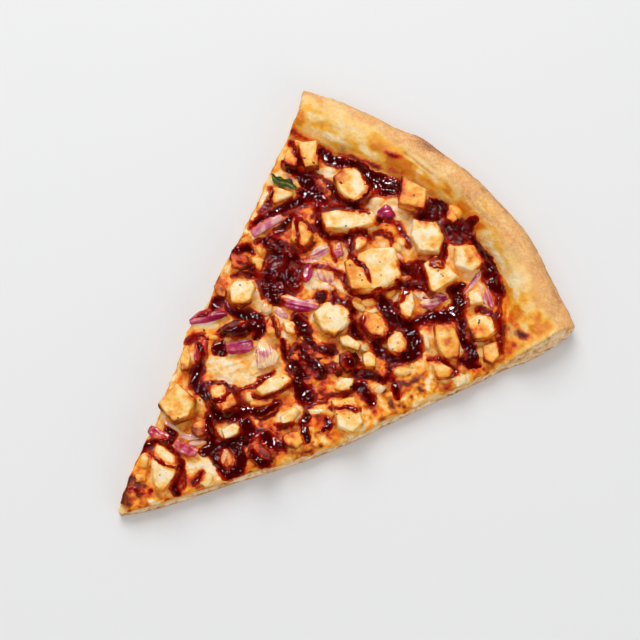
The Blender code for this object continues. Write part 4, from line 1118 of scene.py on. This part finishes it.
# %% Small bits: strips
# bent strips of onion and of torn meat: skin on one edge, skin on the other, then pixel, pixel, width
ONION_STRIPS = (
    (0.12, 0.35, (309, 259, 5), (317, 256, 9), (326, 251, 8), (332, 247, 4)),
    (0.40, 0.55, (338, 243, 6), (339, 251, 9), (338, 259, 5)),
    (0.10, 0.22, (301, 262, 4), (316, 262, 6), (330, 266, 6), (341, 272, 4)),
    (0.25, 0.15, (311, 274, 4), (324, 278, 7), (338, 286, 5)),
    (0.05, 0.20, (311, 287, 4), (322, 289, 7), (333, 289, 5)),
    (0.30, 0.40, (316, 297, 3), (323, 299, 4), (330, 300, 3)),
    (0.02, 0.35, (281, 291, 4), (290, 299, 6), (303, 303, 6), (319, 301, 4)),
    (0.60, 0.95, (285, 298, 3), (295, 305, 4), (307, 309, 5), (320, 306, 3)),
    (0.26, 0.42, (463, 295, 4), (470, 286, 7), (477, 278, 6), (482, 271, 3)),
    (0.30, 0.16, (480, 284, 6), (485, 294, 8), (487, 305, 6)),
    (0.12, 0.30, (389, 250, 4), (396, 256, 7), (404, 262, 6)),
    (0.30, 0.45, (398, 278, 4), (405, 279, 6), (413, 275, 5)),
    (0.10, 0.20, (408, 286, 8), (418, 291, 12), (428, 299, 12)),
    (0.75, 0.95, (433, 296, 8), (441, 298, 10), (449, 297, 6)),
    (0.35, 0.30, (457, 306, 5), (464, 307, 7), (470, 309, 5)),
    (0.35, 0.30, (463, 329, 5), (466, 334, 7), (469, 341, 5)),
    (0.00, 0.03, (268, 297, 7), (267, 308, 9), (265, 317, 6)),
    (0.18, 0.28, (274, 308, 6), (280, 312, 9), (287, 318, 6)),
    (0.40, 0.45, (284, 337, 4), (286, 343, 5), (288, 350, 4)),
    (0.06, 0.20, (180, 436, 4), (189, 438, 6), (200, 437, 5)),
    (0.30, 0.25, (216, 452, 5), (218, 460, 6), (223, 468, 5)),
    (0.30, 0.35, (226, 450, 6), (229, 458, 7), (232, 466, 5)),
    (0.35, 0.30, (236, 456, 3), (238, 462, 4), (236, 468, 3)),
    (0.00, 0.10, (165, 422, 4), (172, 427, 5), (180, 432, 4)),
    (0.45, 0.35, (286, 171, 5), (290, 177, 6), (293, 184, 4)),
    (0.25, 0.12, (308, 176, 5), (318, 180, 7), (326, 187, 8), (330, 196, 5)),
)
MEAT_STRIPS = (
    (0.25, 0.40, (452, 268, 4), (462, 269, 6), (472, 271, 6), (480, 269, 3)),
    (0.40, 0.55, (300, 337, 4), (312, 341, 4), (322, 346, 4), (331, 354, 4)),
    (0.10, 0.20, (335, 285, 5), (344, 291, 7), (354, 296, 6), (361, 301, 4)),
    (0.1, 0.3, (443, 372, 4), (450, 376, 6), (457, 381, 4)),
    (0.20, 0.35, (405, 262, 5), (411, 270, 4), (414, 278, 3)),
    (0.35, 0.5, (326, 284, 3), (332, 290, 4), (336, 297, 3)),
    (0.3, 0.5, (222, 392, 3), (228, 398, 5), (234, 402, 3)),
    (0.2, 0.4, (378, 226, 4), (386, 224, 5), (393, 227, 4), (397, 234, 3)),
)
print(len(ONION_STRIPS), "strips of onion and", len(MEAT_STRIPS), "of meat")

# %% Small bits: where they lie
CHEESE_TALL, CHEESE_WAVE, GAP = 3.3, 0.9, 0.3   # mm: the cheese, its waves and the gap under it
CHEESE_TOP = BASE_TALL + GAP + CHEESE_TALL
ROUND, LONG = 14, 36                # faces round a strip and along it


def cheese_level(x, y):
    """The melted cheese's broad height at points of the plan, from the point of the slice."""
    made = np.empty(len(x))
    for index, (a, b) in enumerate(zip(x.tolist(), y.tolist())):
        broad = steady.noise(Vector((a / 26.0, b / 26.0, 0.0)))
        made[index] = broad + 0.6 * steady.noise(Vector((a / 9.0, b / 9.0, 5.0)))
    return CHEESE_TOP + CHEESE_WAVE * made


def sight(u, v):
    """The way from the camera to a pixel of the photograph."""
    return forward * (LENS / SENSOR * PICTURE) + right * (u - PICTURE / 2) - up * (v - PICTURE / 2)


def plan_spot(u, v):
    """The place on the plan, from the slice's point, where a pixel's line of sight meets the cheese."""
    ray = sight(u, v)
    spot = eye + ray * ((CHEESE_TOP - eye.z) / ray.z)
    return spot.x - TIP[0], spot.y - TIP[1]


def crumb_row(u, v, long, wide, turn, tall, tone):
    """A crumb's row of pixels as a scrap's row of millimetres."""
    way = picture_side(turn)
    return plan_spot(u, v) + (long * PIXEL, wide * PIXEL, math.degrees(math.atan2(way.y, way.x)), tall, tone)


print("the cheese's top is near", CHEESE_TOP, "mm")


# %% Small bits: heaps of strips and scraps
def bent_line(stops):
    """A smoothed line through stops (u, v, width): marks along it, and x, y, width and direction at each."""
    line = np.array([plan_spot(u, v) + (wide * PIXEL,) for u, v, wide in stops])
    marks = np.linspace(0.0, len(stops) - 1.0, 10 * len(stops))
    line = np.column_stack([np.interp(marks, np.arange(len(stops)), column) for column in line.T])
    line[1:-1] = (line[:-2] + line[1:-1] * 2.0 + line[2:]) / 4.0
    way = np.gradient(line[:, :2], axis=0)
    return marks, np.column_stack((line, way / np.linalg.norm(way, axis=1)[:, None]))


def strip_heap(rows, seed):
    """One mesh of bent strips that lie on the cheese, and the tone of each point."""
    heap = bmesh.new()
    tones = []
    for near_tone, far_tone, *stops in rows:
        made = bmesh.ops.create_uvsphere(heap, u_segments=ROUND, v_segments=LONG, radius=1.0)["verts"]
        ball = np.array([vert.co for vert in made])
        turn = np.arctan2(ball[:, 1], ball[:, 0])
        share = np.sqrt(np.clip(1.0 - ball[:, 2] ** 6, 0.0, 1.0))
        marks, line = bent_line(stops)
        run = (ball[:, 2] + 1.0) / 2.0 * marks[-1]
        x, y, wide, way_x, way_y = (np.interp(run, marks, column) for column in line.T)
        level = cheese_level(x, y) + 0.35 + 0.45 * lumps(np.column_stack((x, y, x * 0.0)), 6.0, seed)
        side = np.cos(turn) * wide / 2.0 * share
        rise = np.sin(turn) * (0.45 + 0.14 * wide) * share + 0.25 * np.abs(np.cos(turn)) * share
        spots = np.column_stack((TIP[0] + x - way_y * side, TIP[1] + y + way_x * side, level + rise))
        for vert, spot in zip(made, spots.tolist()):
            vert.co = spot
        tones.extend(near_tone + (far_tone - near_tone) * (0.5 + 0.5 * np.cos(turn)))
    bmesh.ops.recalc_face_normals(heap, faces=heap.faces[:])
    return heap, np.array(tones)


def scrap_heap(rows, seed):
    """One mesh of squared, lumpy balls, and the tone of each point."""
    heap = bmesh.new()
    tones = []
    for number, (x, y, long, wide, turn, tall, tone) in enumerate(rows):
        made = bmesh.ops.create_icosphere(heap, subdivisions=3, radius=1.0)["verts"]
        ball = np.array([vert.co for vert in made])
        ball = np.sign(ball) * np.abs(ball) ** 0.7
        ball *= 1.0 + 0.16 * rough(ball * 4.0, 2.5, seed + number)[:, None]
        angle = math.radians(turn)
        along, across = ball[:, 0] * long / 2.0, ball[:, 1] * wide / 2.0
        level = float(cheese_level(np.array([x]), np.array([y]))[0])
        spots = np.column_stack((
            TIP[0] + x + along * math.cos(angle) - across * math.sin(angle),
            TIP[1] + y + along * math.sin(angle) + across * math.cos(angle),
            level - 0.6 + (ball[:, 2] + 0.35) * tall * 0.72))
        spots += 0.15 * lumps(spots, 1.4, seed)[:, None] * ball
        for vert, spot in zip(made, spots.tolist()):
            vert.co = spot
        tones.extend([tone] * len(made))
    return heap, np.array(tones)


print("heaps ready")

# %% Small bits: the pieces
bm, tones = scrap_heap(SCRAPS + tuple(crumb_row(*row) for row in CRUMBS), 400)
points, normals = places(bm), facings(bm)
remember(bm)
# golden rises on the scraps' sides: partly browning, partly painted shade on the sides
values = {"golden": tones + 0.25 * rough(points, 3.0, 31) + 0.15 * (1.0 - normals[:, 2]),
          "char": np.zeros(len(points)),
          "stain": 0.6 * sauce_near(points) + 0.1 * rough(points, 3.0, 32)}
piece("chicken_scraps", bm, meat, values)

bm, tones = scrap_heap(ONION_SCRAPS, 500)
points = places(bm)
remember(bm)
values = {"skin": tones + 0.15 * rough(points, 3.0, 33), "stain": 0.5 * sauce_near(points)}
piece("onion_scraps", bm, onion_skin, values)

for name, rows, paint, key, slot in (("onion_strips", ONION_STRIPS, onion_skin, "skin", "red_onion"),
                                     ("meat_strips", MEAT_STRIPS, meat, "golden", "chicken")):
    bm, tones = strip_heap(rows, 600)
    points, normals = places(bm), facings(bm)
    points += normals * (0.10 * lumps(points, 1.2, 601) + 0.16 * lumps(points, 3.0, 602))[:, None]
    move_to(bm, points)
    remember(bm)
    values = {key: tones + 0.18 * rough(points, 3.0, 34), "char": np.zeros(len(points)),
              "stain": 0.50 * sauce_near(points) + 0.15 * rough(points, 4.0, 35)}
    piece(name, bm, paint, values)
print("4 heaps of small bits")

# %% [markdown]
# ## A map of heights
#
# Cheese creeps up the foot of each cube, and sauce drapes over everything. Both need to know
# how high the food stands at each point of the plan. Rays shot straight down on the finished
# nets tell it, once for a lattice of half-millimetre steps.

# %% A map of heights
STEP = 0.45                         # mm between lines of the lattice
WEST, SOUTH, WIDTH, DEPTH = -89.0, -119.0, 178, 238     # mm: the lattice's corner and size
SKY_HIGH = 60.0                     # mm: rays start here
columns, rows = int(WIDTH / STEP) + 1, int(DEPTH / STEP) + 1
plan_x, plan_y = np.meshgrid(WEST + STEP * np.arange(columns), SOUTH + STEP * np.arange(rows))


def heights(tree_of_faces):
    """Height that a ray from above meets at each point of the lattice, or 0."""
    made = np.zeros(plan_x.size)
    down = Vector((0, 0, -1))
    for index, (x, y) in enumerate(zip(plan_x.ravel().tolist(), plan_y.ravel().tolist())):
        hit = tree_of_faces.ray_cast(Vector((x, y, SKY_HIGH)), down)[0]
        if hit:
            made[index] = hit.z
    return made.reshape(plan_x.shape)


topping_tree = BVHTree.FromPolygons(np.vstack(food_points).tolist(), food_faces)
food_height = heights(topping_tree)
print("food stands up to", round(food_height.max(), 1), "mm")


def plan_read(field, points):
    """Read a lattice at points of the plan."""
    x = np.clip((points[:, 0] - WEST) / STEP, 0, columns - 1.001)
    y = np.clip((points[:, 1] - SOUTH) / STEP, 0, rows - 1.001)
    column, row = x.astype(int), y.astype(int)
    x, y = x - column, y - row
    top = field[row, column] * (1 - x) + field[row, column + 1] * x
    low = field[row + 1, column] * (1 - x) + field[row + 1, column + 1] * x
    return top * (1 - y) + low * y


# %% [markdown]
# ## The melted cheese
#
# The cheese is one blanket that runs from cut to cut. Its top is a fine net over the slice's
# plan: a grid whose columns fan out from the point, so its sides follow the cuts. It is browned
# in patches, white where it is thickest, stained by the sauce, and it climbs a little up the
# foot of whatever lies in it. The grid's border is drawn down to the dough and closed below.

# %% The cheese: its outline
HALF_ANGLE = 22.5                   # degrees, from the middle of the slice to a cut
CHEESE_START = 5.0                  # mm from the slice's point
CUT_LEAN, BOW, WAVER = 0.22, 9.0, 0.9           # how far the cuts lean, bow and waver
RIM_REACH = 228.7                   # mm from the slice's point to the crust's outer edge
# the cuts: mm from the point and mm that the cut stands out. The rim: degrees and mm to its foot
LEFT_CUT = ((0.0, 0.0), (14.0, 1.8), (74.0, 1.6), (91.0, 4.8), (107.0, 1.6), (126.0, 0.0), (165.0, -0.6),
            (190.0, -2.6), (206.0, -1.2), (221.0, 0.8))
RIGHT_CUT = ((0.0, 0.0), (60.0, 0.5), (113.0, 1.8), (165.0, -0.2), (188.0, 0.3), (206.0, 3.0), (228.7, 3.2))
RIM_INNER = ((-22.5, 198.0), (-12.0, 199.0), (-5.0, 207.5), (4.0, 213.5), (12.0, 210.5), (22.5, 192.0))


def through(stops, at):
    """A smooth line through a few (place, value) stops."""
    made = np.full(len(at), stops[0][1])
    for (a, low), (b, high) in zip(stops, stops[1:]):
        made = np.where(at >= a, low + (high - low) * ease(a, b, at), made)
    return made


def cut_angles(radius, height):
    """Degrees from the middle of the slice to its left and right cut."""
    share = np.clip(radius / RIM_REACH, 0.0, 1.0)
    bow = BOW * (4.0 * share * (1.0 - share)) ** 0.6
    start = ease(0.0, 40.0, radius)
    lean = CUT_LEAN * height * ease(0.0, 12.0, radius)
    left = through(LEFT_CUT, radius) + WAVER * np.sin(radius / 9.0) * start - 0.4 * lean
    right_way = bow + through(RIGHT_CUT, radius) + 0.6 * WAVER * np.sin(radius / 13.0 + 1.0) * start - lean
    return -HALF_ANGLE - np.degrees(left / radius), HALF_ANGLE + np.degrees(right_way / radius)


print("the slice's half angle is", HALF_ANGLE, "degrees")

# %% The cheese: its net
ACROSS, ALONG = 250, 340            # faces of the net
bm = bmesh.new()
bmesh.ops.create_grid(bm, x_segments=ACROSS, y_segments=ALONG, size=1.0)
share = places(bm)
across, along = share[:, 0], (share[:, 1] + 1.0) / 2.0
toe = through(RIM_INNER, across * HALF_ANGLE) - 0.4
radius = CHEESE_START + (toe - CHEESE_START) * along
left, right_cut = cut_angles(radius, BASE_TALL)
angle = np.radians(left + (right_cut - left) * (across + 1.0) / 2.0)
edge_gap = radius * np.radians((right_cut - left) / 2.0) * (1.0 - np.abs(across))
flat = np.column_stack((radius * np.sin(angle), radius * np.cos(angle), np.zeros(len(radius))))
inset = (0.5 + 0.5 * np.sin(radius / 5.0 + np.sign(across))) * 0.6
inset += 0.8 * lumps(flat, 4.0, 51) + 0.4 * lumps(flat, 1.8, 50)
flat[:, 0] -= np.sign(across) * inset * ease(6.0, 0.0, edge_gap) * ease(0.0, 20.0, radius)
print("cheese net of", len(flat), "points")

# %% The cheese: where it is white and where it bubbles
WHITE_SPOTS = (
    (232, 370, 62, 30, -8, 0.75), (246, 364, 60, 20, 10, 0.7), (270, 378, 30, 16, 10, 0.7),
    (202, 468, 36, 20, -10, 1.0), (204, 326, 30, 10, 0, 0.9), (328, 172, 24, 13, 0, 1.0),
    (380, 201, 34, 14, 10, 1.0), (412, 229, 16, 28, -30, 1.0), (427, 338, 10, 20, 0, 0.9),
    (462, 379, 22, 14, 0, 0.9), (242, 386, 26, 10, 10, 0.8), (405, 364, 30, 9, 5, 0.8),
    (320, 409, 28, 12, 10, 0.8), (282, 312, 16, 12, 0, 0.8), (340, 250, 26, 14, 0, 0.6),
    (322, 284, 28, 12, 10, 0.8), (265, 195, 14, 26, 20, 0.9), (222, 384, 40, 8, 0, 0.9),
    (252, 376, 28, 24, 0, 0.7), (226, 430, 26, 12, 0, 1.0), (184, 352, 10, 14, 10, 0.6),
    (424, 297, 26, 18, -20, 0.7), (330, 267, 34, 8, -15, 0.6), (436, 380, 14, 8, 0, 0.5),
    (318, 440, 24, 14, 15, 0.8), (268, 306, 12, 18, 0, 0.8), (212, 360, 20, 16, 0, 0.9),
    (400, 214, 12, 18, 0, 0.8), (478, 298, 18, 18, 0, 0.6), (290, 413, 24, 8, 30, 0.6),
    (218, 320, 16, 6, 0, 0.6),
)
BUBBLES = (
    (322, 422, 30, 26, 0, 0.9), (415, 386, 40, 26, 20, 0.9), (232, 370, 46, 26, 0, 0.35),
    (260, 462, 22, 16, 20, 0.8), (138, 490, 26, 18, 30, 0.5), (300, 450, 20, 12, 0, 0.5),
    (328, 173, 18, 14, 0, 0.8), (375, 203, 24, 12, 0, 0.8), (407, 232, 14, 20, 0, 0.6),
    (205, 468, 26, 20, 0, 0.6), (490, 350, 16, 16, 0, 0.5), (236, 250, 20, 20, 0, 0.6),
    (222, 290, 16, 24, 0, 0.5), (228, 266, 18, 16, 0, 0.6),
)
print(len(WHITE_SPOTS), "white spots and", len(BUBBLES), "bubbles")

# %% The cheese: its height
FOLD_WAY = np.array((picture_side(15)[:2], picture_side(105)[:2]))
topping = (food_height > BASE_TALL + 3.6).astype(float)
topping_near = blur(topping, 2.6)
relief = cheese_level(flat[:, 0], flat[:, 1])
plan = flat.copy()
plan[:, :2] += TIP
climb = plan_read(topping_near, plan)
strings = np.abs(lumps(plan * np.array((1.0, 0.45, 1.0)), 3.2, 53)) + 0.6 * np.abs(lumps(plan, 5.5, 56))
relief += 0.9 * ease(0.05, 0.6, climb) - 0.45 * strings
relief += 0.30 * rough(plan, 4.5, 52) + 0.12 * lumps(plan, 1.3, 54)
plan[:, 2] = relief
fold = FOLD_WAY @ plan[:, :2].T
folds = np.abs(lumps(np.column_stack((fold[0] / 4.0, fold[1], fold[1] * 0.0)), 1.7, 57))
relief += 1.1 * patches(BUBBLES, plan, 0.3, 55) + patches(WHITE_SPOTS, plan, 0.3, 64) * (0.7 * folds - 0.3)
lip = ease(1.8, 0.0, np.minimum(edge_gap, (along * 60.0 + 0.4)))
relief -= 1.5 * lip ** 2
rim_side = ease(0.955, 1.0, along)
relief = relief * (1.0 - rim_side) + (BASE_TALL + 1.6) * rim_side
plan[:, 2] = np.maximum(relief, BASE_TALL + GAP + 0.4)
move_to(bm, plan)
skirt = bmesh.ops.extrude_edge_only(bm, edges=[edge for edge in bm.edges if edge.is_boundary])
for item in skirt["geom"]:
    if isinstance(item, bmesh.types.BMVert):
        item.co.z = BASE_TALL + GAP
bmesh.ops.contextual_create(bm, geom=[edge for edge in bm.edges if edge.is_boundary])
bmesh.ops.recalc_face_normals(bm, faces=bm.faces[:])
print("cheese closed with", len(bm.faces), "faces")

# %% The cheese: browned, honeyed and glazed spots
BROWN_SPOTS = (
    (487, 354, 18, 16, 0, 1.0), (316, 436, 24, 12, 15, 0.9), (152, 494, 34, 16, 20, 1.0),
    (412, 386, 46, 32, 10, 0.75), (410, 382, 34, 11, 8, 1.3), (421, 386, 14, 12, 0, 1.2),
    (322, 422, 30, 24, 0, 0.6), (306, 418, 12, 20, 0, 0.9), (332, 424, 10, 18, 0, 0.9),
    (140, 482, 40, 34, 30, 1.2), (130, 498, 44, 22, 25, 1.3), (300, 452, 40, 12, 15, 0.5),
    (345, 412, 24, 14, 0, 0.6), (185, 367, 12, 18, 0, 0.6), (236, 264, 24, 26, 0, 0.8),
    (242, 237, 18, 16, 0, 0.7), (490, 350, 24, 28, 0, 0.7), (512, 340, 24, 26, 0, 0.6),
    (398, 404, 30, 14, 0, 0.7), (220, 290, 14, 26, 0, 0.8), (262, 454, 34, 20, 10, 1.0),
    (375, 405, 18, 22, 0, 0.8), (440, 372, 30, 12, -10, 0.7), (386, 395, 18, 26, 0, 0.8),
    (300, 365, 34, 26, 0, 0.8), (268, 430, 24, 22, 0, 0.8), (140, 500, 34, 10, 10, 0.6),
    (198, 482, 12, 16, 40, 0.9), (350, 200, 10, 10, 0, 0.4), (298, 430, 26, 20, 0, 0.8),
    (360, 330, 16, 16, 0, 0.7), (448, 388, 18, 10, 20, 0.6), (330, 385, 20, 14, 0, 0.6),
    (280, 384, 30, 10, 0, 0.5), (240, 402, 12, 16, 0, 0.7), (268, 230, 20, 16, 30, 0.7),
    (318, 236, 10, 16, 0, 0.6),
)
HONEY_SPOTS = (
    (422, 382, 62, 36, 20, 1.0), (345, 422, 52, 26, 20, 0.9), (484, 374, 50, 20, 25, 0.9),
    (304, 440, 60, 20, 15, 0.9), (506, 340, 22, 50, 0, 0.8), (260, 462, 50, 18, 20, 0.8),
    (236, 268, 26, 40, 0, 0.7), (136, 490, 44, 26, 25, 0.6), (440, 374, 40, 14, 20, 0.8),
    (208, 330, 20, 10, 0, 0.5), (398, 404, 40, 14, 20, 1.0),
)
GLAZED = (
    (422, 358, 24, 12, 0, 0.9), (487, 354, 18, 16, 0, 0.7), (394, 250, 20, 16, 0, 0.8),
    (334, 280, 18, 14, 0, 0.9), (152, 494, 30, 14, 20, 1.1), (282, 226, 16, 14, 0, 0.8),
    (318, 360, 40, 34, 0, 0.9), (312, 392, 30, 22, 0, 0.9), (300, 345, 30, 26, 0, 0.8),
    (282, 268, 40, 60, 0, 0.9), (236, 268, 30, 44, 0, 0.7), (330, 345, 26, 20, 0, 0.6),
    (352, 342, 26, 12, 0, 0.7), (404, 240, 20, 18, 0, 0.5), (296, 440, 44, 26, 15, 0.7),
    (268, 424, 30, 30, 0, 0.7), (250, 440, 30, 26, 0, 0.6), (374, 402, 22, 30, 0, 0.5),
    (142, 486, 40, 32, 20, 1.2), (130, 498, 24, 14, 20, 1.0), (200, 440, 40, 22, 0, 0.7),
    (386, 308, 24, 20, 0, 0.6), (418, 316, 40, 12, 0, 0.6), (440, 262, 30, 14, 0, 0.5),
    (330, 232, 40, 14, 0, 0.6), (346, 304, 26, 14, 0, 0.6), (316, 268, 22, 20, 0, 0.45),
    (234, 312, 30, 20, 0, 0.6), (488, 352, 30, 34, 0, 0.55), (306, 322, 20, 30, 0, 0.6),
    (378, 352, 24, 20, 0, 0.7), (340, 254, 22, 20, 0, 0.5), (286, 232, 44, 20, 30, 0.6),
    (226, 268, 16, 50, 0, 0.5), (404, 386, 24, 18, 0, 0.35), (322, 424, 26, 20, 0, 0.5),
    (344, 372, 16, 26, 0, 0.6), (180, 384, 20, 14, 0, 0.5), (168, 440, 30, 14, 0, 0.6),
)
print(len(BROWN_SPOTS), "brown,", len(HONEY_SPOTS), "honey and", len(GLAZED), "glazed spots")

# %% The cheese: its material
melt, tree, shader = material("cheese", 0.34, Subsurface_Weight=0.06, Subsurface_Scale=0.002,
                              Coat_Weight=0.08, Coat_Roughness=0.12, Specular_IOR_Level=0.25)
shader.inputs["Subsurface Radius"].default_value = (0.8, 0.6, 0.4)
golden = uneven(tree, named_value(tree, "golden"), 380.0, 5.0, 0.62, 0.5)
colour = ramp(tree, golden, (
    (0.0, srgb(255, 232, 198)), (0.22, srgb(254, 208, 132)), (0.45, srgb(250, 168, 40)),
    (0.72, srgb(210, 102, 10)), (1.0, srgb(116, 40, 6))))
tree.links.new(stained(tree, colour), shader.inputs["Base Color"])
bump(tree, shader, noise(tree, 800.0, 4.0, 0.6), 0.45, 0.0008)
print("material:", melt.name)

# %% The cheese: its colours
points = places(bm)
white = patches(WHITE_SPOTS, points, 0.6, 64, (1.35, 0.3))
honey = patches(HONEY_SPOTS, points, 0.6, 90, (1.5, 0.3))
brown = patches(BROWN_SPOTS, points, 0.5, 63)
plain = 1.0 - 0.5 * white
golden_value = 0.31 - 0.29 * white + (0.40 * rough(points, 5.0, 61) + 0.20 * lumps(points, 1.6, 62)) * plain
golden_value += honey * (0.29 + 0.55 * rough(points, 2.8, 91) - 0.5 * golden_value)
golden_value += 0.52 * brown * (1.0 - 0.35 * honey)
spread = np.clip(0.75 + 0.8 * rough(points, 7.0, 66), 0.1, 1.3) * (1.0 - 0.7 * white)
stain = 0.08 + 0.95 * sauce_near(points, spread) + 0.38 * rough(points, 3.2, 65) * plain - 0.10 * white
mottled = ease(-0.35, 0.35, lumps(points, 2.6, 68) + 0.5 * lumps(points, 1.2, 69))
stain += 0.50 * patches(GLAZED, points, 0.7, 67) * mottled * (1.0 - 0.6 * white)
stain *= 1.0 - 0.80 * honey
side_skin = ease(BASE_TALL + 2.9, BASE_TALL + 1.2, points[:, 2])
golden_value += side_skin * (0.12 + 0.3 * lumps(points, 3.0, 70))
stain = stain * (1.0 - 0.4 * side_skin) + 0.10 * side_skin
remember(bm)
piece("melted_cheese", bm, melt, {"golden": golden_value, "stain": stain}, ("cheese",))
print("cheese from", round(float(golden_value.min()), 2), "to", round(float(golden_value.max()), 2), "golden")

# %% [markdown]
# ## The sauce
#
# The sauce drapes: over a cube it lies thin on the edges and runs down the sides, and on the
# flat it stands as a rounded thread. A lattice over the plan is raised to the food below plus
# the sauce's thickness there. Where there is no sauce the lattice dips under the food and is cut
# away just past the edge, so the sauce meets the food in a clean wet line. A copy of the sheet a
# little lower closes it underneath.

# %% The sauce: the sheet
food_tree = BVHTree.FromPolygons(np.vstack(food_points).tolist(), food_faces)
ground = heights(food_tree)
settled = np.maximum(ground, blur(ground, 1.5))
bm = bmesh.new()
bmesh.ops.create_grid(bm, x_segments=columns - 1, y_segments=rows - 1, size=0.5)
lattice = places(bm)
column = np.rint((lattice[:, 0] + 0.5) * (columns - 1)).astype(int)
row = np.rint((lattice[:, 1] + 0.5) * (rows - 1)).astype(int)
points = np.column_stack((WEST + column * STEP, SOUTH + row * STEP, settled[row, column]))
deep = look_up(sauce_map, *wandering(points, (1.4, 3.8), (1.3, 1.5), 71))
torn = ease(0.10, 0.55, lumps(points, 3.0, 83) + 0.4 * lumps(points, 1.4, 84))
torn *= patches(TORN, points, 0.4, 80)
deep = deep * (1.0 + 0.50 * lumps(points, 2.4, 75)) - 0.22 * ease(0.0, 0.7, lumps(points, 1.9, 79))
deep = np.maximum(deep - 1.2 * torn, 0.0)
on_food = plan_read(blur((ground > BASE_TALL + 0.4).astype(float), 1.0), points) > 0.55
deep = np.where(on_food, deep, 0.0)
print("sauce up to", round(float(deep.max()), 2), "mm deep")

# %% The sauce: its skin
FILM, SINK = 0.10, 0.5              # mm: the thinnest film, and how far dry sauce dips under the food
wet = ease(0.0, 2.5 * FILM, deep)
pooled = ease(0.45, 0.70, look_up(blur(pool_map(POOLS, 1.0), 3.0), *pixels(points)))
ripple = 0.26 * lumps(points, 2.8, 76) + 0.15 * lumps(points, 1.6, 77)
ripple += pooled * (0.55 * rough(points, 2.8, 86) - 0.5 * ease(0.2, 0.6, lumps(points, 2.2, 87)))
hidden = np.minimum(ground, blur(ground, 2.2))[row, column] - SINK
drip_end = BASE_TALL + 0.2 + 2.4 * lumps(points * np.array((1.0, 1.0, 0.0)), 2.4, 92)
hidden = np.where(ground[row, column] < 1.0, drip_end, hidden)
points[:, 2] = wet * (points[:, 2] + deep + ripple * wet) + (1.0 - wet) * np.minimum(hidden, points[:, 2])
move_to(bm, points)
wet_plan = np.zeros(plan_x.shape)
wet_plan[row, column] = deep > 0.0
keep = blur(wet_plan, 0.8)[row, column] > 0.06
dry = [vert for vert, kept in zip(bm.verts, keep) if not kept]
bmesh.ops.delete(bm, geom=dry, context="VERTS")
bmesh.ops.delete(bm, geom=[vert for vert in bm.verts if not vert.link_faces], context="VERTS")
print("sauce sheet of", len(bm.verts), "points")

# %% The sauce: its material
sauce_paint, tree, shader = material("barbecue_sauce", 0.08, Specular_IOR_Level=0.55)
thick = uneven(tree, named_value(tree, "deep"), 450.0, 5.0, 0.65, 0.9)
colour = ramp(tree, thick, (
    (0.0, srgb(210, 84, 8)), (0.14, srgb(190, 44, 5)), (0.34, srgb(162, 18, 4)),
    (0.62, srgb(120, 6, 3)), (1.0, srgb(64, 1, 1))))
tree.links.new(colour, shader.inputs["Base Color"])
bump(tree, shader, noise(tree, 480.0, 2.0, 0.5), 0.14, 0.0008)
print("material:", sauce_paint.name)

# %% The sauce: its underside
SHEET_TALL = 0.35                   # mm
below = bmesh.ops.extrude_face_region(bm, geom=bm.faces[:], use_keep_orig=True)
for item in below["geom"]:
    if isinstance(item, bmesh.types.BMVert):
        item.co.z -= SHEET_TALL
bmesh.ops.recalc_face_normals(bm, faces=bm.faces[:])
points = places(bm)
thick_value = look_up(blur(sauce_map, 1.5), *pixels(points)) / 0.9
thick_value += 0.26 * rough(points, 3.6, 78) + 0.10 * lumps(points, 1.4, 88)
piece("barbecue_drizzle", bm, sauce_paint, {"deep": thick_value})
print("sauce done")

# %% [markdown]
# ## Pepper
#
# A few grains of cracked pepper show on the chicken. Each is a tiny dark chip that stands on the
# surface where the photograph shows it, found with a ray from the camera's place.

# %% Pepper
GRAINS = (
    (360, 275), (362, 280), (381, 275), (438, 271), (441, 274), (436, 268), (443, 276), (345, 291),
    (351, 300), (378, 327), (384, 331), (283, 378), (256, 352), (257, 350), (345, 403), (349, 418),
    (337, 414), (348, 438), (178, 418), (188, 420), (200, 400), (484, 303), (462, 352), (412, 368),
    (390, 385), (432, 352), (240, 285), (291, 222), (305, 158), (314, 163), (414, 195), (402, 190),
    (300, 196), (398, 343), (393, 349), (330, 318), (151, 466), (160, 475), (204, 330), (446, 320),
    (380, 262), (372, 288), (350, 265), (327, 210), (346, 226),
)
pepper, tree, shader = material("pepper", 0.6)
colour = ramp(tree, noise(tree, 2500.0, 2.0), ((0.3, srgb(30, 16, 8)), (0.7, srgb(86, 56, 30))))
tree.links.new(colour, shader.inputs["Base Color"])
bm = bmesh.new()
draw = random.Random(5)
for u, v in GRAINS:
    hit = food_tree.ray_cast(eye, sight(u, v).normalized())[0]
    if not hit:
        continue
    made = bmesh.ops.create_icosphere(bm, subdivisions=1, radius=draw.uniform(0.25, 0.5))["verts"]
    squash = draw.uniform(0.4, 0.9), draw.uniform(0.6, 1.3)
    for vert in made:
        vert.co.x *= squash[1]
        vert.co.z *= squash[0]
        vert.co += Vector(draw.uniform(-0.06, 0.06) for _ in range(3)) + hit + Vector((0, 0, 0.08))
piece("pepper", bm, pepper, {})
print(len(GRAINS), "grains of pepper")
